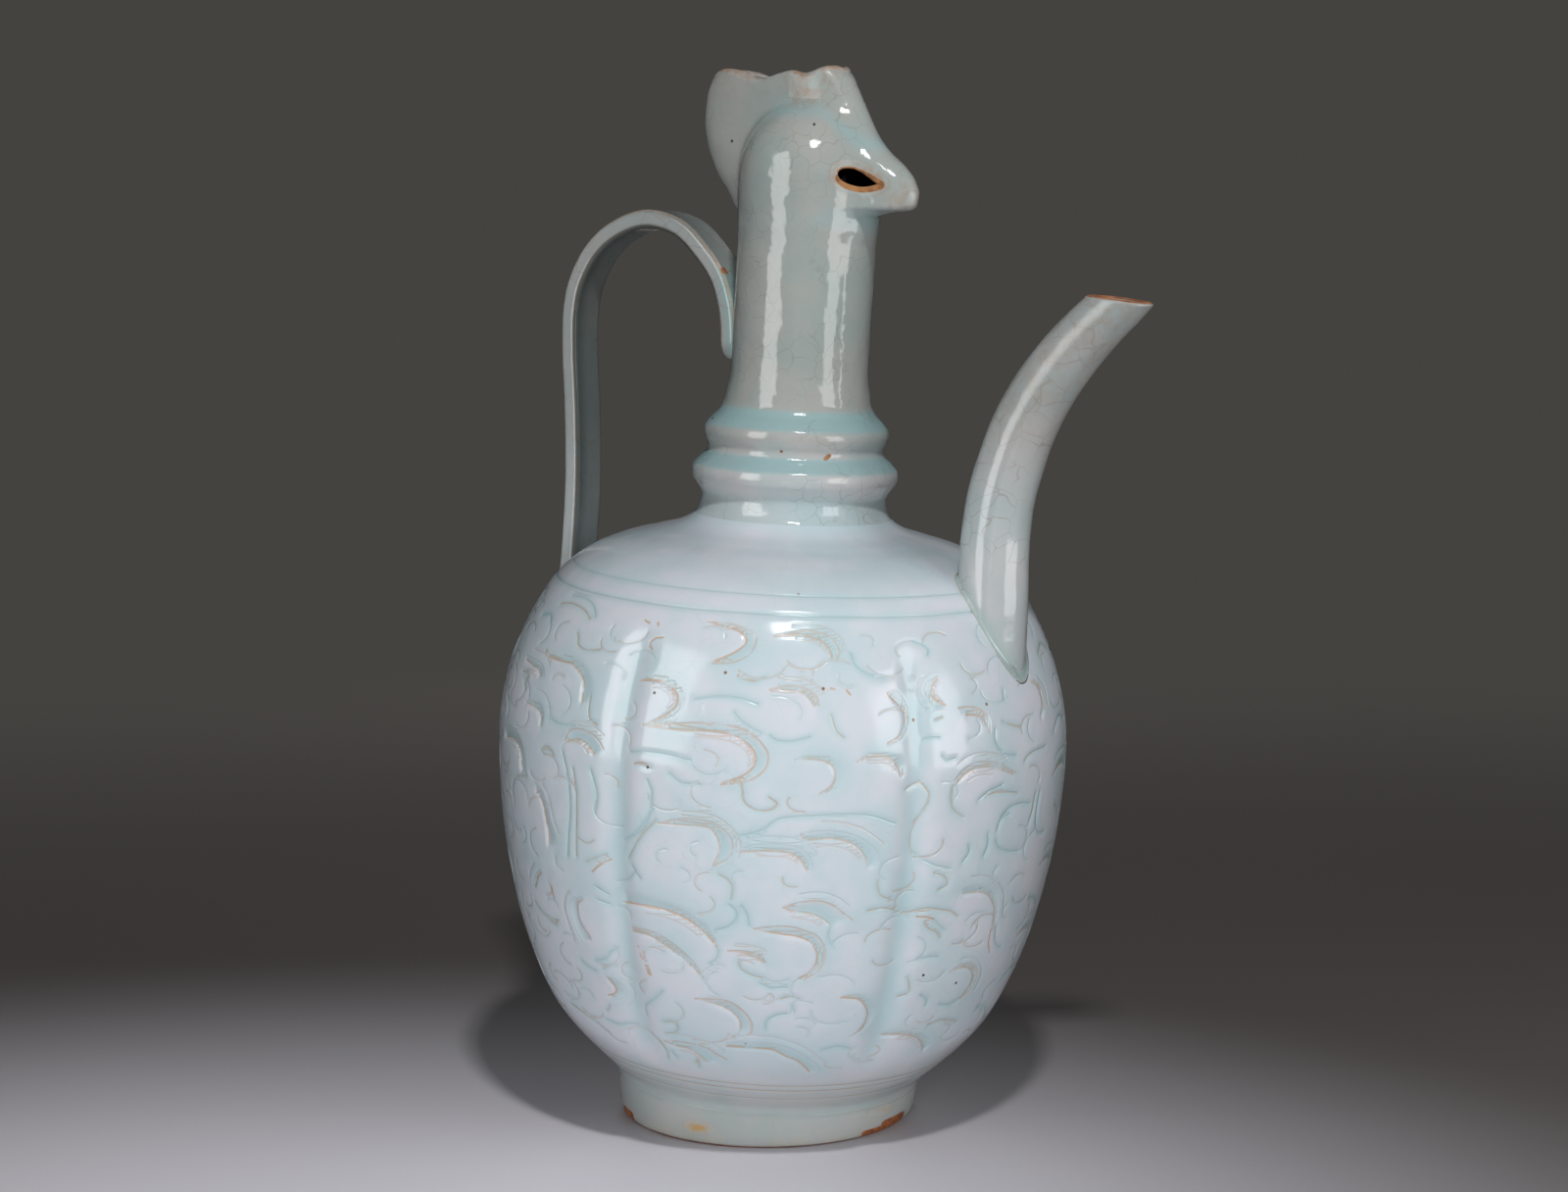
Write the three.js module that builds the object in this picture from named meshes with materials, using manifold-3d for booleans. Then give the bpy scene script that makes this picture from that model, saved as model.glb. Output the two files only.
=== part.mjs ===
// A phoenix-head ewer of porcelain under a pale blue-white glaze: a lobed melon body on a
// ring foot, a ringed collar, a slim neck that ends in a bird's head whose hollow crest is
// the mouth, a swept spout and a flat strap handle. Each piece was thrown or modelled by
// itself and stuck to its neighbours with slip before the firing. Millimetres, +Z up,
// +X towards the spout, the foot standing on z = 0.

import * as THREE from "three";
import { mergeVertices } from "three/addons/utils/BufferGeometryUtils.js";
import Module from "manifold-3d";

const { degToRad, lerp, smoothstep, clamp } = THREE.MathUtils;

// The pot slumped towards its spout in the kiln, and its neck a little more than its body.
const kilnLeanAngle = 3;
const neckLeanAngle = 1;

// Every luted joint keeps a gap the thickness of its slip, and every cut runs past its piece.
const slipGap = 0.3;
const cutOverrun = 20;

// Foot ring
const footHeight = 14.5;
const footTopRadius = 55;
const footTaper = 2.5;
const footWall = 7;
const footChamfer = 1.2;
const footColumnCount = 48;

// Body: a lower bowl and an upper shoulder, joined at the belly
const bellyRadius = 101.4;
const bellyHeight = 135;
const shoulderHeight = 217;
const collarSeatRadius = 35;
const bodyWall = 5;
const floorThickness = 6;
const lobeCount = 6;
const columnsPerLobeCount = 10;
const columnCrowdShare = 0.55;
const grooveDepth = 2;
const grooveWidth = 11;
const grooveBottomMargin = 18;
const grooveTopMargin = 27;
const grooveFade = 14;
const lowerRowCount = 11;
const upperRowCount = 13;
const seamBandHeight = 12;
const seamBandThickness = 1.6;

// Outlines of the two bowls, as shares of their rise and of their growth in radius
const lowerBodyShares = [
  [0, 0],
  [0.159, 0.064],
  [0.345, 0.139],
  [0.491, 0.212],
  [0.603, 0.286],
  [0.759, 0.432],
  [0.862, 0.576],
  [0.955, 0.767],
  [1, 1],
];
const upperBodyShares = [
  [1, 0],
  [0.989, 0.171],
  [0.946, 0.341],
  [0.866, 0.512],
  [0.756, 0.671],
  [0.657, 0.762],
  [0.541, 0.829],
  [0.389, 0.884],
  [0.229, 0.921],
  [0.078, 0.957],
  [0, 1],
];

// Collar: two thrown rings round the root of the neck
const collarHeight = 43;
const lowerRingRadius = 36.6;
const upperRingRadius = 32.8;
const neckRootRadius = 25.5;
const collarColumnCount = 40;
const collarFootShares = [
  [1, 0],
  [0.8, 0.09],
  [0.77, 0.17],
];
const lowerRingShares = [
  [0.84, 0.24],
  [1, 0.31],
  [1, 0.385],
  [0.86, 0.45],
  [0.52, 0.52],
];
const upperRingShares = [
  [0.78, 0.56],
  [1, 0.63],
  [1, 0.71],
  [0.75, 0.78],
  [0.28, 0.84],
  [0.1, 0.92],
  [0, 1],
];

// Neck
const neckHeight = 52;
const neckRadius = 24.3;
const neckWall = 4.3;
const neckFlareHeight = 9;
const neckColumnCount = 40;

// Head: a skull that carries on from the neck, with a short beak
const headHeight = 61.6;
const skullRadius = 25.2;
const skullShoulderHeight = 24;
const skullTopHeight = 50;
const headWall = 3.6;
const beakReach = 43.5;
const beakHalfWidth = 12;
const beakTopHeight = 34;
const creaseSoftness = 2;
const headColumnCount = 44;
const headCrowdShare = 0.3;

// Front of head and crest, and back of the crest: shares of the head's height and of the reach
const frontShares = [
  [0, 0.5],
  [0.155, 0.54],
  [0.19, 0.68],
  [0.205, 0.79],
  [0.221, 0.95],
  [0.247, 0.988],
  [0.304, 1],
  [0.372, 0.965],
  [0.456, 0.86],
  [0.539, 0.7],
  [0.623, 0.582],
  [0.709, 0.51],
  [0.795, 0.446],
  [0.88, 0.375],
  [1, 0.262],
];
const backShares = [
  [0, 0.5],
  [0.114, 0.53],
  [0.203, 0.66],
  [0.291, 0.74],
  [0.378, 0.84],
  [0.468, 0.913],
  [0.557, 0.967],
  [0.7, 1],
  [0.825, 0.99],
  [0.916, 0.945],
  [1, 0.87],
];
const headRowShares = [0, 0.12, 0.26, 0.335, 0.36, 0.39, 0.44, 0.54, 0.68, 0.84];

// Eyes: one almond hole on each side
const eyeLength = 15;
const eyeHeight = 7;
const eyeForward = 28.5;
const eyeRise = 22;
const eyeTiltAngle = 19;
const eyeCurvePointCount = 5;

// Crest: a pinched wall with a waved rim, open along its top
const crestReach = 46;
const crestHalfWidth = 9.5;
const crestWall = 3.4;
const crestLip = 1.1;
const crestWave = 4.4;
const crestFrontRise = 35;
const crestSideRise = 46;
const crestBackRise = 7;
const crestRowShares = [0, 0.17, 0.34, 0.51, 0.68, 0.85];

// Height of the waved rim below the head's full height, from the front round to the back
const rimWaveShares = [
  [0, 0.62],
  [0.14, 0.12],
  [0.28, 0],
  [0.45, 0.6],
  [0.66, 0.58],
  [0.84, 1],
  [0.93, 0.28],
  [1, 0.5],
];

// Spout: a tapering tube, from the shoulder up and out to a mouth cut nearly level
const spoutInset = 18.9;
const spoutReach = 42.5;
const spoutRise = 106.5;
const spoutRootDiameter = 24.8;
const spoutMouthDiameter = 15;
const spoutWall = 3.2;
const spoutMouthTiltAngle = 4;
const spoutColumnCount = 18;
const spoutRowCount = 16;
const spoutTaperShare = 0.35;
const spoutPathShares = [
  [0, -0.315],
  [0, 0],
  [-0.007, 0.23],
  [0.028, 0.362],
  [0.094, 0.465],
  [0.176, 0.565],
  [0.336, 0.693],
  [0.565, 0.822],
  [0.812, 0.93],
  [1, 1],
  [1.24, 1.1],
];

// Handle: a flat strap from the back of the shoulder, over an arch, down to the neck
const handleRootInset = 4.9;
const handleWidth = 15.4;
const handleThickness = 6.9;
const handleRootWidth = 23;
const handleArchRise = 58.6;
const handleNeckRise = 10;
const handleBite = 1.6;
const handleRowCount = 34;
const handleCornerShare = 0.36;
const handleRootShare = 0.16;
const handleRisingShares = [
  [0.87, -0.065],
  [0.965, -0.01],
  [1.004, 0.058],
  [0.989, 0.116],
  [0.976, 0.212],
  [0.969, 0.366],
  [0.989, 0.54],
  [1.016, 0.675],
  [1.019, 0.771],
  [0.991, 0.837],
  [0.899, 0.914],
  [0.766, 0.966],
  [0.557, 1],
];
const handleFallingShares = [
  [0.343, 0.053],
  [0.193, 0.218],
  [0.093, 0.383],
  [0.036, 0.568],
  [0.009, 0.753],
  [0, 1],
];

// Beads of slip smoothed round the roots of spout and handle
const beadWidth = 1.8;
const beadHeight = 2;

// Heights of the joints above the foot, and radii that follow from the sizes above
const collarTopHeight = shoulderHeight + collarHeight;
const neckTopHeight = collarTopHeight + neckHeight;
const footTreadRadius = footTopRadius - footTaper;
const boreRadius = neckRadius - neckWall;
const spoutAxisRadius = bellyRadius - spoutInset;
const handleAxisRadius = bellyRadius - handleRootInset;

const wasm = await Module();
wasm.setup();

// Straight-line value at x of a table of [x, y] pairs
function valueAt(table, x) {
  const next = table.findIndex(([start]) => start >= x);
  if (next <= 0) {
    return next === 0 ? table[0][1] : table[table.length - 1][1];
  }
  const [x0, y0] = table[next - 1];
  const [x1, y1] = table[next];
  return lerp(y0, y1, (x - x0) / (x1 - x0));
}

// The larger of two lengths, with the corner between them rounded over by soft
function softMax(a, b, soft) {
  return (a + b + Math.hypot(a - b, soft)) / 2;
}

// Outline points between two radii and two heights
function outlineBetween(shares, radius0, radius1, height0, height1) {
  return shares.map(
    ([outward, upward]) =>
      new THREE.Vector2(lerp(radius0, radius1, outward), lerp(height0, height1, upward)),
  );
}

// The same outline moved sideways by a distance, to its left when walked from its start
function offsetOutline(points, distance) {
  return points.map((point, i) => {
    const before = points[Math.max(i - 1, 0)];
    const after = points[Math.min(i + 1, points.length - 1)];
    const along = after.clone().sub(before).normalize();
    return new THREE.Vector2(point.x - along.y * distance, point.y + along.x * distance);
  });
}

// The hidden inside of a wall needs only every other point of its outline
function thinned(points) {
  return points.filter((_, i) => i % 2 === 0 || i === points.length - 1);
}

// Geometry that keeps only its positions, with shared vertices merged
function bare(geometry) {
  geometry.deleteAttribute("normal");
  geometry.deleteAttribute("uv");
  return mergeVertices(geometry);
}

// Moves every vertex of a geometry by a rule
function reshape(geometry, rule) {
  const position = geometry.getAttribute("position");
  const point = new THREE.Vector3();
  for (let i = 0; i < position.count; i += 1) {
    point.fromBufferAttribute(position, i);
    rule(point);
    position.setXYZ(i, point.x, point.y, point.z);
  }
  return geometry;
}

// A closed outline turned round the Z axis
function turned(outline, columnCount) {
  const geometry = new THREE.LatheGeometry(outline, columnCount);
  geometry.rotateX(Math.PI / 2);
  return bare(geometry);
}

// A skin over rings of points, joined back to its first ring or capped at both ends. The
// strip back to the first ring is split the other way, so that two seats facing each other
// across a joint have the same folds.
function lofted(rings, capped) {
  const columnCount = rings[0].length;
  const positions = rings.flat().flatMap((point) => point.toArray());
  const index = [];
  const lastRing = capped ? rings.length - 1 : rings.length;
  for (let row = 0; row < lastRing; row += 1) {
    const above = (row + 1) % rings.length;
    for (let column = 0; column < columnCount; column += 1) {
      const beside = (column + 1) % columnCount;
      const a = row * columnCount + column;
      const b = row * columnCount + beside;
      const c = above * columnCount + beside;
      const d = above * columnCount + column;
      if (above === 0) {
        index.push(a, b, d, b, c, d);
      } else {
        index.push(a, b, c, a, c, d);
      }
    }
  }
  if (capped) {
    const top = (rings.length - 1) * columnCount;
    for (let column = 1; column < columnCount - 1; column += 1) {
      index.push(0, column + 1, column);
      index.push(top, top + column, top + column + 1);
    }
  }
  const geometry = new THREE.BufferGeometry();
  geometry.setAttribute("position", new THREE.Float32BufferAttribute(positions, 3));
  geometry.setIndex(index);
  return geometry;
}

// Geometry to a solid that can be cut and joined, and back
function solid(geometry) {
  return new wasm.Manifold(
    new wasm.Mesh({
      numProp: 3,
      vertProperties: new Float32Array(geometry.getAttribute("position").array),
      triVerts: new Uint32Array(geometry.getIndex().array),
    }),
  );
}

function geometryOf(shape) {
  const mesh = shape.getMesh();
  const geometry = new THREE.BufferGeometry();
  geometry.setAttribute("position", new THREE.BufferAttribute(mesh.vertProperties, 3));
  geometry.setIndex(new THREE.BufferAttribute(mesh.triVerts, 1));
  return geometry;
}

// The neck's own lean, as a slide of each level along X
function leanNeck(geometry) {
  const slope = Math.tan(degToRad(neckLeanAngle));
  return reshape(geometry, (point) => {
    point.x += (point.z - collarTopHeight) * slope;
  });
}

// Body outlines, walked from the foot up to the collar's seat
const lowerOutline = new THREE.SplineCurve(
  outlineBetween(lowerBodyShares, footTopRadius, bellyRadius, footHeight, bellyHeight),
).getPoints(lowerRowCount);
const upperOutline = new THREE.SplineCurve(
  outlineBetween(upperBodyShares, collarSeatRadius, bellyRadius, bellyHeight, shoulderHeight),
).getPoints(upperRowCount);

// Height at which the shoulder's outside has a given radius
function shoulderHeightAt(radius) {
  const table = upperOutline.map((point) => [-point.x, point.y]);
  return valueAt(table, -radius);
}

// Presses the grooves between the lobes, and crowds the columns of points into them
function pressLobes(geometry, wallShareAt) {
  const lobeAngle = (2 * Math.PI) / lobeCount;
  const grooveBottom = footHeight + grooveBottomMargin;
  const grooveTop = shoulderHeight - grooveTopMargin;
  return reshape(geometry, (point) => {
    const radius = Math.hypot(point.x, point.y);
    if (radius === 0) {
      return;
    }
    const turn = Math.atan2(point.y, point.x);
    const crowded = turn + (columnCrowdShare / lobeCount) * Math.sin(turn * lobeCount);
    const fromGroove = lobeAngle / 2 - Math.abs(crowded - Math.round(crowded / lobeAngle) * lobeAngle);
    const across = (fromGroove * radius) / (grooveWidth / 2);
    const fade =
      smoothstep(point.z, grooveBottom, grooveBottom + grooveFade) *
      (1 - smoothstep(point.z, grooveTop - grooveFade, grooveTop));
    const depth = grooveDepth * Math.exp(-across * across) * fade * wallShareAt(radius, point.z);
    point.x = (radius - depth) * Math.cos(crowded);
    point.y = (radius - depth) * Math.sin(crowded);
  });
}

// 1 on the outside of the body wall and 0 on its inside
function outsideShare(radius, height) {
  const outline = [...lowerOutline, ...upperOutline].map((point) => [point.y, point.x]);
  return radius > valueAt(outline, height) - bodyWall / 2 ? 1 : 0;
}

// Foot ring, trimmed level where it stands although the pot leans
function makeFoot() {
  const treadInner = footTreadRadius - footWall;
  const top = footHeight - slipGap;
  const outline = [
    new THREE.Vector2(treadInner, 0),
    new THREE.Vector2(footTreadRadius - footChamfer, 0),
    new THREE.Vector2(footTreadRadius, footChamfer),
    new THREE.Vector2(footTopRadius, top),
    new THREE.Vector2(treadInner, top),
    new THREE.Vector2(treadInner, 0),
  ];
  const slope = Math.tan(degToRad(kilnLeanAngle));
  return reshape(turned(outline, footColumnCount), (point) => {
    point.z += point.x * slope * (1 - point.z / top);
  });
}

// Lower bowl, with its floor
function makeLowerBody() {
  const floorHeight = footHeight + floorThickness;
  const inside = thinned(offsetOutline(lowerOutline, bodyWall)).filter(
    (point) => point.y > floorHeight && point.y < bellyHeight,
  );
  const rimInside = new THREE.Vector2(bellyRadius - bodyWall, bellyHeight);
  const outline = [
    new THREE.Vector2(0, footHeight),
    ...lowerOutline,
    rimInside,
    ...inside.reverse(),
    new THREE.Vector2(footTopRadius - bodyWall, floorHeight),
    new THREE.Vector2(0, floorHeight),
  ];
  return pressLobes(turned(outline, lobeCount * columnsPerLobeCount), outsideShare);
}

// Shoulder bowl, pierced under the spout
function makeUpperBody() {
  const seam = bellyHeight + slipGap;
  const outside = upperOutline.map((point) => new THREE.Vector2(point.x, Math.max(point.y, seam)));
  const inside = thinned(offsetOutline(upperOutline, bodyWall)).filter(
    (point) => point.y > seam && point.x > boreRadius,
  );
  const throat = inside[inside.length - 1].y;
  const outline = [
    new THREE.Vector2(bellyRadius - bodyWall, seam),
    ...outside,
    new THREE.Vector2(boreRadius, shoulderHeight),
    new THREE.Vector2(boreRadius, throat),
    ...inside.reverse(),
    new THREE.Vector2(bellyRadius - bodyWall, seam),
  ];
  const bowl = pressLobes(turned(outline, lobeCount * columnsPerLobeCount), outsideShare);
  return geometryOf(solid(bowl).subtract(solid(makeSpoutTube(-spoutWall))));
}

// The space inside the body's outer surface, grown by a distance
function makeBodySpace(growth) {
  const surface = offsetOutline([...lowerOutline, ...upperOutline.slice(1)], -growth);
  const outline = [
    new THREE.Vector2(0, surface[0].y),
    ...surface,
    new THREE.Vector2(0, surface[surface.length - 1].y),
  ];
  return pressLobes(turned(outline, lobeCount * columnsPerLobeCount), () => 1);
}

// Band of slip smoothed over the belly joint on the inside
function makeSeamBand() {
  const outer = bellyRadius - bodyWall - slipGap;
  const inner = outer - seamBandThickness;
  const low = bellyHeight - seamBandHeight / 2;
  const high = bellyHeight + seamBandHeight / 2;
  const taper = seamBandThickness / 2;
  const outline = [
    new THREE.Vector2(inner, low + taper),
    new THREE.Vector2(outer - taper, low),
    new THREE.Vector2(outer, bellyHeight),
    new THREE.Vector2(outer - taper, high),
    new THREE.Vector2(inner, high - taper),
    new THREE.Vector2(inner, low + taper),
  ];
  return turned(outline, lobeCount * columnsPerLobeCount);
}

// Collar with its two rings
function makeCollar() {
  const base = shoulderHeight + slipGap;
  const rise = (shares, radius) =>
    outlineBetween(shares, neckRootRadius, radius, base, collarTopHeight - slipGap);
  const outline = [
    new THREE.Vector2(boreRadius, base),
    ...rise(collarFootShares, collarSeatRadius),
    ...rise(lowerRingShares, lowerRingRadius),
    ...rise(upperRingShares, upperRingRadius),
    new THREE.Vector2(boreRadius, collarTopHeight - slipGap),
    new THREE.Vector2(boreRadius, base),
  ];
  return turned(outline, collarColumnCount);
}

// Neck outline, grown by a distance, from the collar up to the head
function neckOutline(growth) {
  return [
    new THREE.Vector2(neckRootRadius + growth, collarTopHeight),
    new THREE.Vector2(neckRadius + growth, collarTopHeight + neckFlareHeight),
    new THREE.Vector2(neckRadius + growth, collarTopHeight + neckHeight / 2),
    new THREE.Vector2(neckRadius + growth, neckTopHeight - slipGap),
  ];
}

function makeNeck() {
  const outline = [
    new THREE.Vector2(boreRadius, collarTopHeight),
    ...neckOutline(0),
    new THREE.Vector2(boreRadius, neckTopHeight - slipGap),
    new THREE.Vector2(boreRadius, collarTopHeight),
  ];
  return leanNeck(turned(outline, neckColumnCount));
}

// Skull radius at a height above the neck: straight, then a dome
function skullRadiusAt(height, wall) {
  const belowShoulder = smoothstep(height, 0, skullShoulderHeight);
  if (height <= skullShoulderHeight) {
    return lerp(neckRadius, skullRadius, belowShoulder) - wall;
  }
  const domeHeight = skullTopHeight - skullShoulderHeight - wall;
  const climbed = Math.min((height - skullShoulderHeight) / domeHeight, 1);
  return (skullRadius - wall) * Math.sqrt(1 - climbed * climbed);
}

// Distance from the neck's axis to the surface of head and crest. The crest and the beak are
// one long oval through the skull, blunt behind and pointed in front.
function headRadiusAt(turn, height, wall) {
  const share = height / headHeight;
  const shareBelow = Math.max(height - wall, 0) / headHeight;
  const front = beakReach * Math.min(valueAt(frontShares, share), valueAt(frontShares, shareBelow));
  const back = crestReach * Math.min(valueAt(backShares, share), valueAt(backShares, shareBelow));
  const forward = Math.cos(turn);
  const beakZone = 1 - smoothstep(height, beakTopHeight, skullTopHeight);
  const widening = (beakHalfWidth - crestHalfWidth) * Math.max(forward, 0) * beakZone;
  const reach = (forward > 0 ? front : back) - wall;
  const halfWidth = crestHalfWidth + widening - wall;
  const oval = 1 / Math.hypot(forward / reach, Math.sin(turn) / halfWidth);
  return softMax(skullRadiusAt(height, wall), oval, creaseSoftness);
}

// Turns of the head's columns, crowded towards beak and nape
function headTurns() {
  return Array.from({ length: headColumnCount }, (_, column) => {
    const turn = (2 * Math.PI * column) / headColumnCount;
    return turn - headCrowdShare * Math.sin(2 * turn);
  });
}

// How far round from the beak to the nape a turn lies, from 0 to 1
function roundShare(turn) {
  return Math.acos(clamp(Math.cos(turn), -1, 1)) / Math.PI;
}

// Rise of the joint between head and crest: high over the temples, low at the nape
const templeStartShare = 0.05;
const templeFrontShare = 0.3;
const templeBackShare = 0.72;
const napeShare = 0.97;
function creaseRise(turn) {
  const share = roundShare(turn);
  const front = lerp(crestFrontRise, crestSideRise, smoothstep(share, templeStartShare, templeFrontShare));
  return lerp(front, crestBackRise, smoothstep(share, templeBackShare, napeShare));
}

// Rise of the crest's waved rim
function rimRise(turn) {
  return headHeight - crestWave * valueAt(rimWaveShares, roundShare(turn));
}

// One ring of points of the head, for a rule that gives each turn its height
function headRing(riseOf, wall, trim) {
  return headTurns().map((turn) => {
    const rise = riseOf(turn);
    const radius = headRadiusAt(turn, rise, wall) - trim;
    return new THREE.Vector3(
      radius * Math.cos(turn),
      radius * Math.sin(turn),
      neckTopHeight + rise,
    );
  });
}

// Skull and beak, up to the crest's seat, with the eyes cut through
function makeHead() {
  const riseRules = headRowShares.map((share) => (turn) => {
    const seat = creaseRise(turn) - slipGap;
    return share * Math.min(crestFrontRise, seat);
  });
  const upperRules = [
    (turn) => (riseRules[riseRules.length - 1](turn) + creaseRise(turn) - slipGap) / 2,
    (turn) => creaseRise(turn) - slipGap,
  ];
  const rules = [...riseRules, ...upperRules];
  const outer = rules.map((rule) => headRing(rule, 0, 0));
  const inner = rules.map((rule) => headRing(rule, headWall, 0)).reverse();
  const shell = leanNeck(lofted([...outer, ...inner], false));
  return geometryOf(solid(shell).subtract(solid(makeEyes())));
}

// Almond prism across the head, pointed towards the beak and the nape
function makeEyes() {
  const half = eyeLength / 2;
  const almond = new THREE.Shape();
  almond.moveTo(-half, 0);
  almond.quadraticCurveTo(0, -eyeHeight, half, 0);
  almond.quadraticCurveTo(0, eyeHeight, -half, 0);
  const depth = 2 * (skullRadius + cutOverrun);
  const prism = new THREE.ExtrudeGeometry(almond, {
    depth,
    bevelEnabled: false,
    curveSegments: eyeCurvePointCount,
  });
  prism.translate(0, 0, -depth / 2);
  prism.rotateZ(-degToRad(eyeTiltAngle));
  prism.rotateX(Math.PI / 2);
  prism.translate(eyeForward, 0, neckTopHeight + eyeRise);
  return leanNeck(bare(prism));
}

// Crest wall, from its seat on the head up to the rim, with a rounded lip
function makeCrest() {
  const rules = crestRowShares.map((share) => (turn) => {
    const top = rimRise(turn) - crestLip;
    return lerp(creaseRise(turn), top, share);
  });
  const shoulder = (turn) => rimRise(turn) - crestLip;
  const outer = [
    ...rules.map((rule) => headRing(rule, 0, 0)),
    headRing(shoulder, 0, 0),
    headRing(rimRise, 0, crestLip),
  ];
  const inner = [
    headRing(rimRise, 0, crestWall - crestLip),
    headRing(shoulder, crestWall, 0),
    ...rules.map((rule) => headRing(rule, crestWall, 0)).reverse(),
  ];
  return leanNeck(lofted([...outer, ...inner], false));
}

// Path of points in the XZ plane, from shares of its reach and rise
function curveThrough(points) {
  return new THREE.CatmullRomCurve3(points, false, "centripetal");
}

// Solid swept along a curve in the XZ plane; the section gives points [across, outward]
function swept(curve, rowCount, sectionAt) {
  const rings = Array.from({ length: rowCount + 1 }, (_, row) => {
    const along = row / rowCount;
    const centre = curve.getPointAt(along);
    const tangent = curve.getTangentAt(along);
    const outward = new THREE.Vector3(-tangent.z, 0, tangent.x);
    return sectionAt(along).map(
      ([across, out]) =>
        new THREE.Vector3(
          centre.x + outward.x * out,
          centre.y + across,
          centre.z + outward.z * out,
        ),
    );
  });
  return lofted(rings, true);
}

const spoutRootHeight = shoulderHeightAt(spoutAxisRadius);
const spoutCurve = curveThrough(
  spoutPathShares.map(
    ([outward, upward]) =>
      new THREE.Vector3(
        spoutAxisRadius + outward * spoutReach,
        0,
        spoutRootHeight + upward * spoutRise,
      ),
  ),
);

// Spout as a full rod, grown by a distance, cut off at the mouth
function makeSpoutTube(growth) {
  return swept(spoutCurve, spoutRowCount, (along) => {
    const taper = spoutTaperShare * along + (1 - spoutTaperShare) * along ** 4;
    const radius = lerp(spoutRootDiameter, spoutMouthDiameter, taper) / 2 + growth;
    return Array.from({ length: spoutColumnCount }, (_, column) => {
      const turn = (2 * Math.PI * column) / spoutColumnCount;
      return [radius * Math.cos(turn), radius * Math.sin(turn)];
    });
  });
}

// Block above the spout's mouth
function makeMouthCutter() {
  const side = 2 * (spoutReach + cutOverrun);
  const block = new THREE.BoxGeometry(side, side, side);
  block.translate(0, 0, side / 2);
  block.rotateY(degToRad(spoutMouthTiltAngle));
  block.translate(spoutAxisRadius + spoutReach, 0, spoutRootHeight + spoutRise);
  return bare(block);
}

function makeSpout() {
  return geometryOf(
    solid(makeSpoutTube(0))
      .subtract(solid(makeSpoutTube(-spoutWall)))
      .subtract(solid(makeMouthCutter()))
      .subtract(solid(makeBodySpace(slipGap))),
  );
}

// Handle's path: up the back from the shoulder, then down to the neck
const handleRootHeight = shoulderHeightAt(handleAxisRadius);
const handleTopHeight = collarTopHeight + handleArchRise;
const handleNeckHeight = collarTopHeight + handleNeckRise;
const handleNeckRadius = neckRadius + handleThickness / 2 - handleBite;
const handleCurve = curveThrough([
  ...handleRisingShares.map(
    ([outward, upward]) =>
      new THREE.Vector3(
        -lerp(handleNeckRadius, handleAxisRadius, outward),
        0,
        lerp(handleRootHeight, handleTopHeight, upward),
      ),
  ),
  ...handleFallingShares.map(
    ([outward, downward]) =>
      new THREE.Vector3(
        -lerp(handleNeckRadius, handleAxisRadius, outward),
        0,
        lerp(handleTopHeight, handleNeckHeight, downward),
      ),
  ),
]);

// Strap with rounded corners, grown by a distance, widening at its root
function makeStrap(growth) {
  return swept(handleCurve, handleRowCount, (along) => {
    const spread = 1 - smoothstep(along, 0, handleRootShare);
    const halfWidth = lerp(handleWidth, handleRootWidth, spread) / 2 + growth;
    const halfThickness = handleThickness / 2 + growth;
    const corner = handleThickness * handleCornerShare;
    return [
      [halfWidth, -halfThickness + corner],
      [halfWidth, halfThickness - corner],
      [halfWidth - corner, halfThickness],
      [-halfWidth + corner, halfThickness],
      [-halfWidth, halfThickness - corner],
      [-halfWidth, -halfThickness + corner],
      [-halfWidth + corner, -halfThickness],
      [halfWidth - corner, -halfThickness],
    ];
  });
}

// The space inside the neck's outer surface, grown by the gap
function makeNeckSpace() {
  const surface = neckOutline(slipGap);
  const outline = [
    new THREE.Vector2(0, surface[0].y),
    ...surface,
    new THREE.Vector2(0, surface[surface.length - 1].y),
  ];
  return leanNeck(turned(outline, neckColumnCount));
}

function makeHandle() {
  return geometryOf(
    solid(makeStrap(0))
      .subtract(solid(makeBodySpace(slipGap)))
      .subtract(solid(makeNeckSpace())),
  );
}

// Bead of slip on the shoulder round a root, which is given by a growth
function makeBead(rootGrownBy) {
  return geometryOf(
    solid(rootGrownBy(slipGap + beadWidth))
      .subtract(solid(rootGrownBy(slipGap)))
      .intersect(solid(makeBodySpace(slipGap + beadHeight)))
      .subtract(solid(makeBodySpace(slipGap))),
  );
}

// Glazes and bare clay
const glaze = (colour) =>
  new THREE.MeshStandardMaterial({ color: colour, roughness: 0.12, metalness: 0 });
const paleGlaze = "#c3d2d2";
const coolGlaze = "#bccfcf";
const greyGlaze = "#b5bfbe";
const footGlaze = "#b9c6c3";
const bareClay = "#d9c9b4";
const pieces = [
  ["foot_ring", makeFoot(), footGlaze],
  ["lower_body", makeLowerBody(), paleGlaze],
  ["upper_body", makeUpperBody(), paleGlaze],
  ["belly_seam_slip", makeSeamBand(), bareClay],
  ["neck_collar", makeCollar(), coolGlaze],
  ["neck", makeNeck(), coolGlaze],
  ["head", makeHead(), coolGlaze],
  ["crest", makeCrest(), coolGlaze],
  ["spout", makeSpout(), greyGlaze],
  ["spout_slip_bead", makeBead(makeSpoutTube), coolGlaze],
  ["handle", makeHandle(), greyGlaze],
  ["handle_slip_bead", makeBead(makeStrap), coolGlaze],
];

const pot = new THREE.Group();
pot.rotation.y = degToRad(kilnLeanAngle);
for (const [name, geometry, colour] of pieces) {
  const mesh = new THREE.Mesh(geometry, glaze(colour));
  mesh.name = name;
  pot.add(mesh);
}

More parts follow.
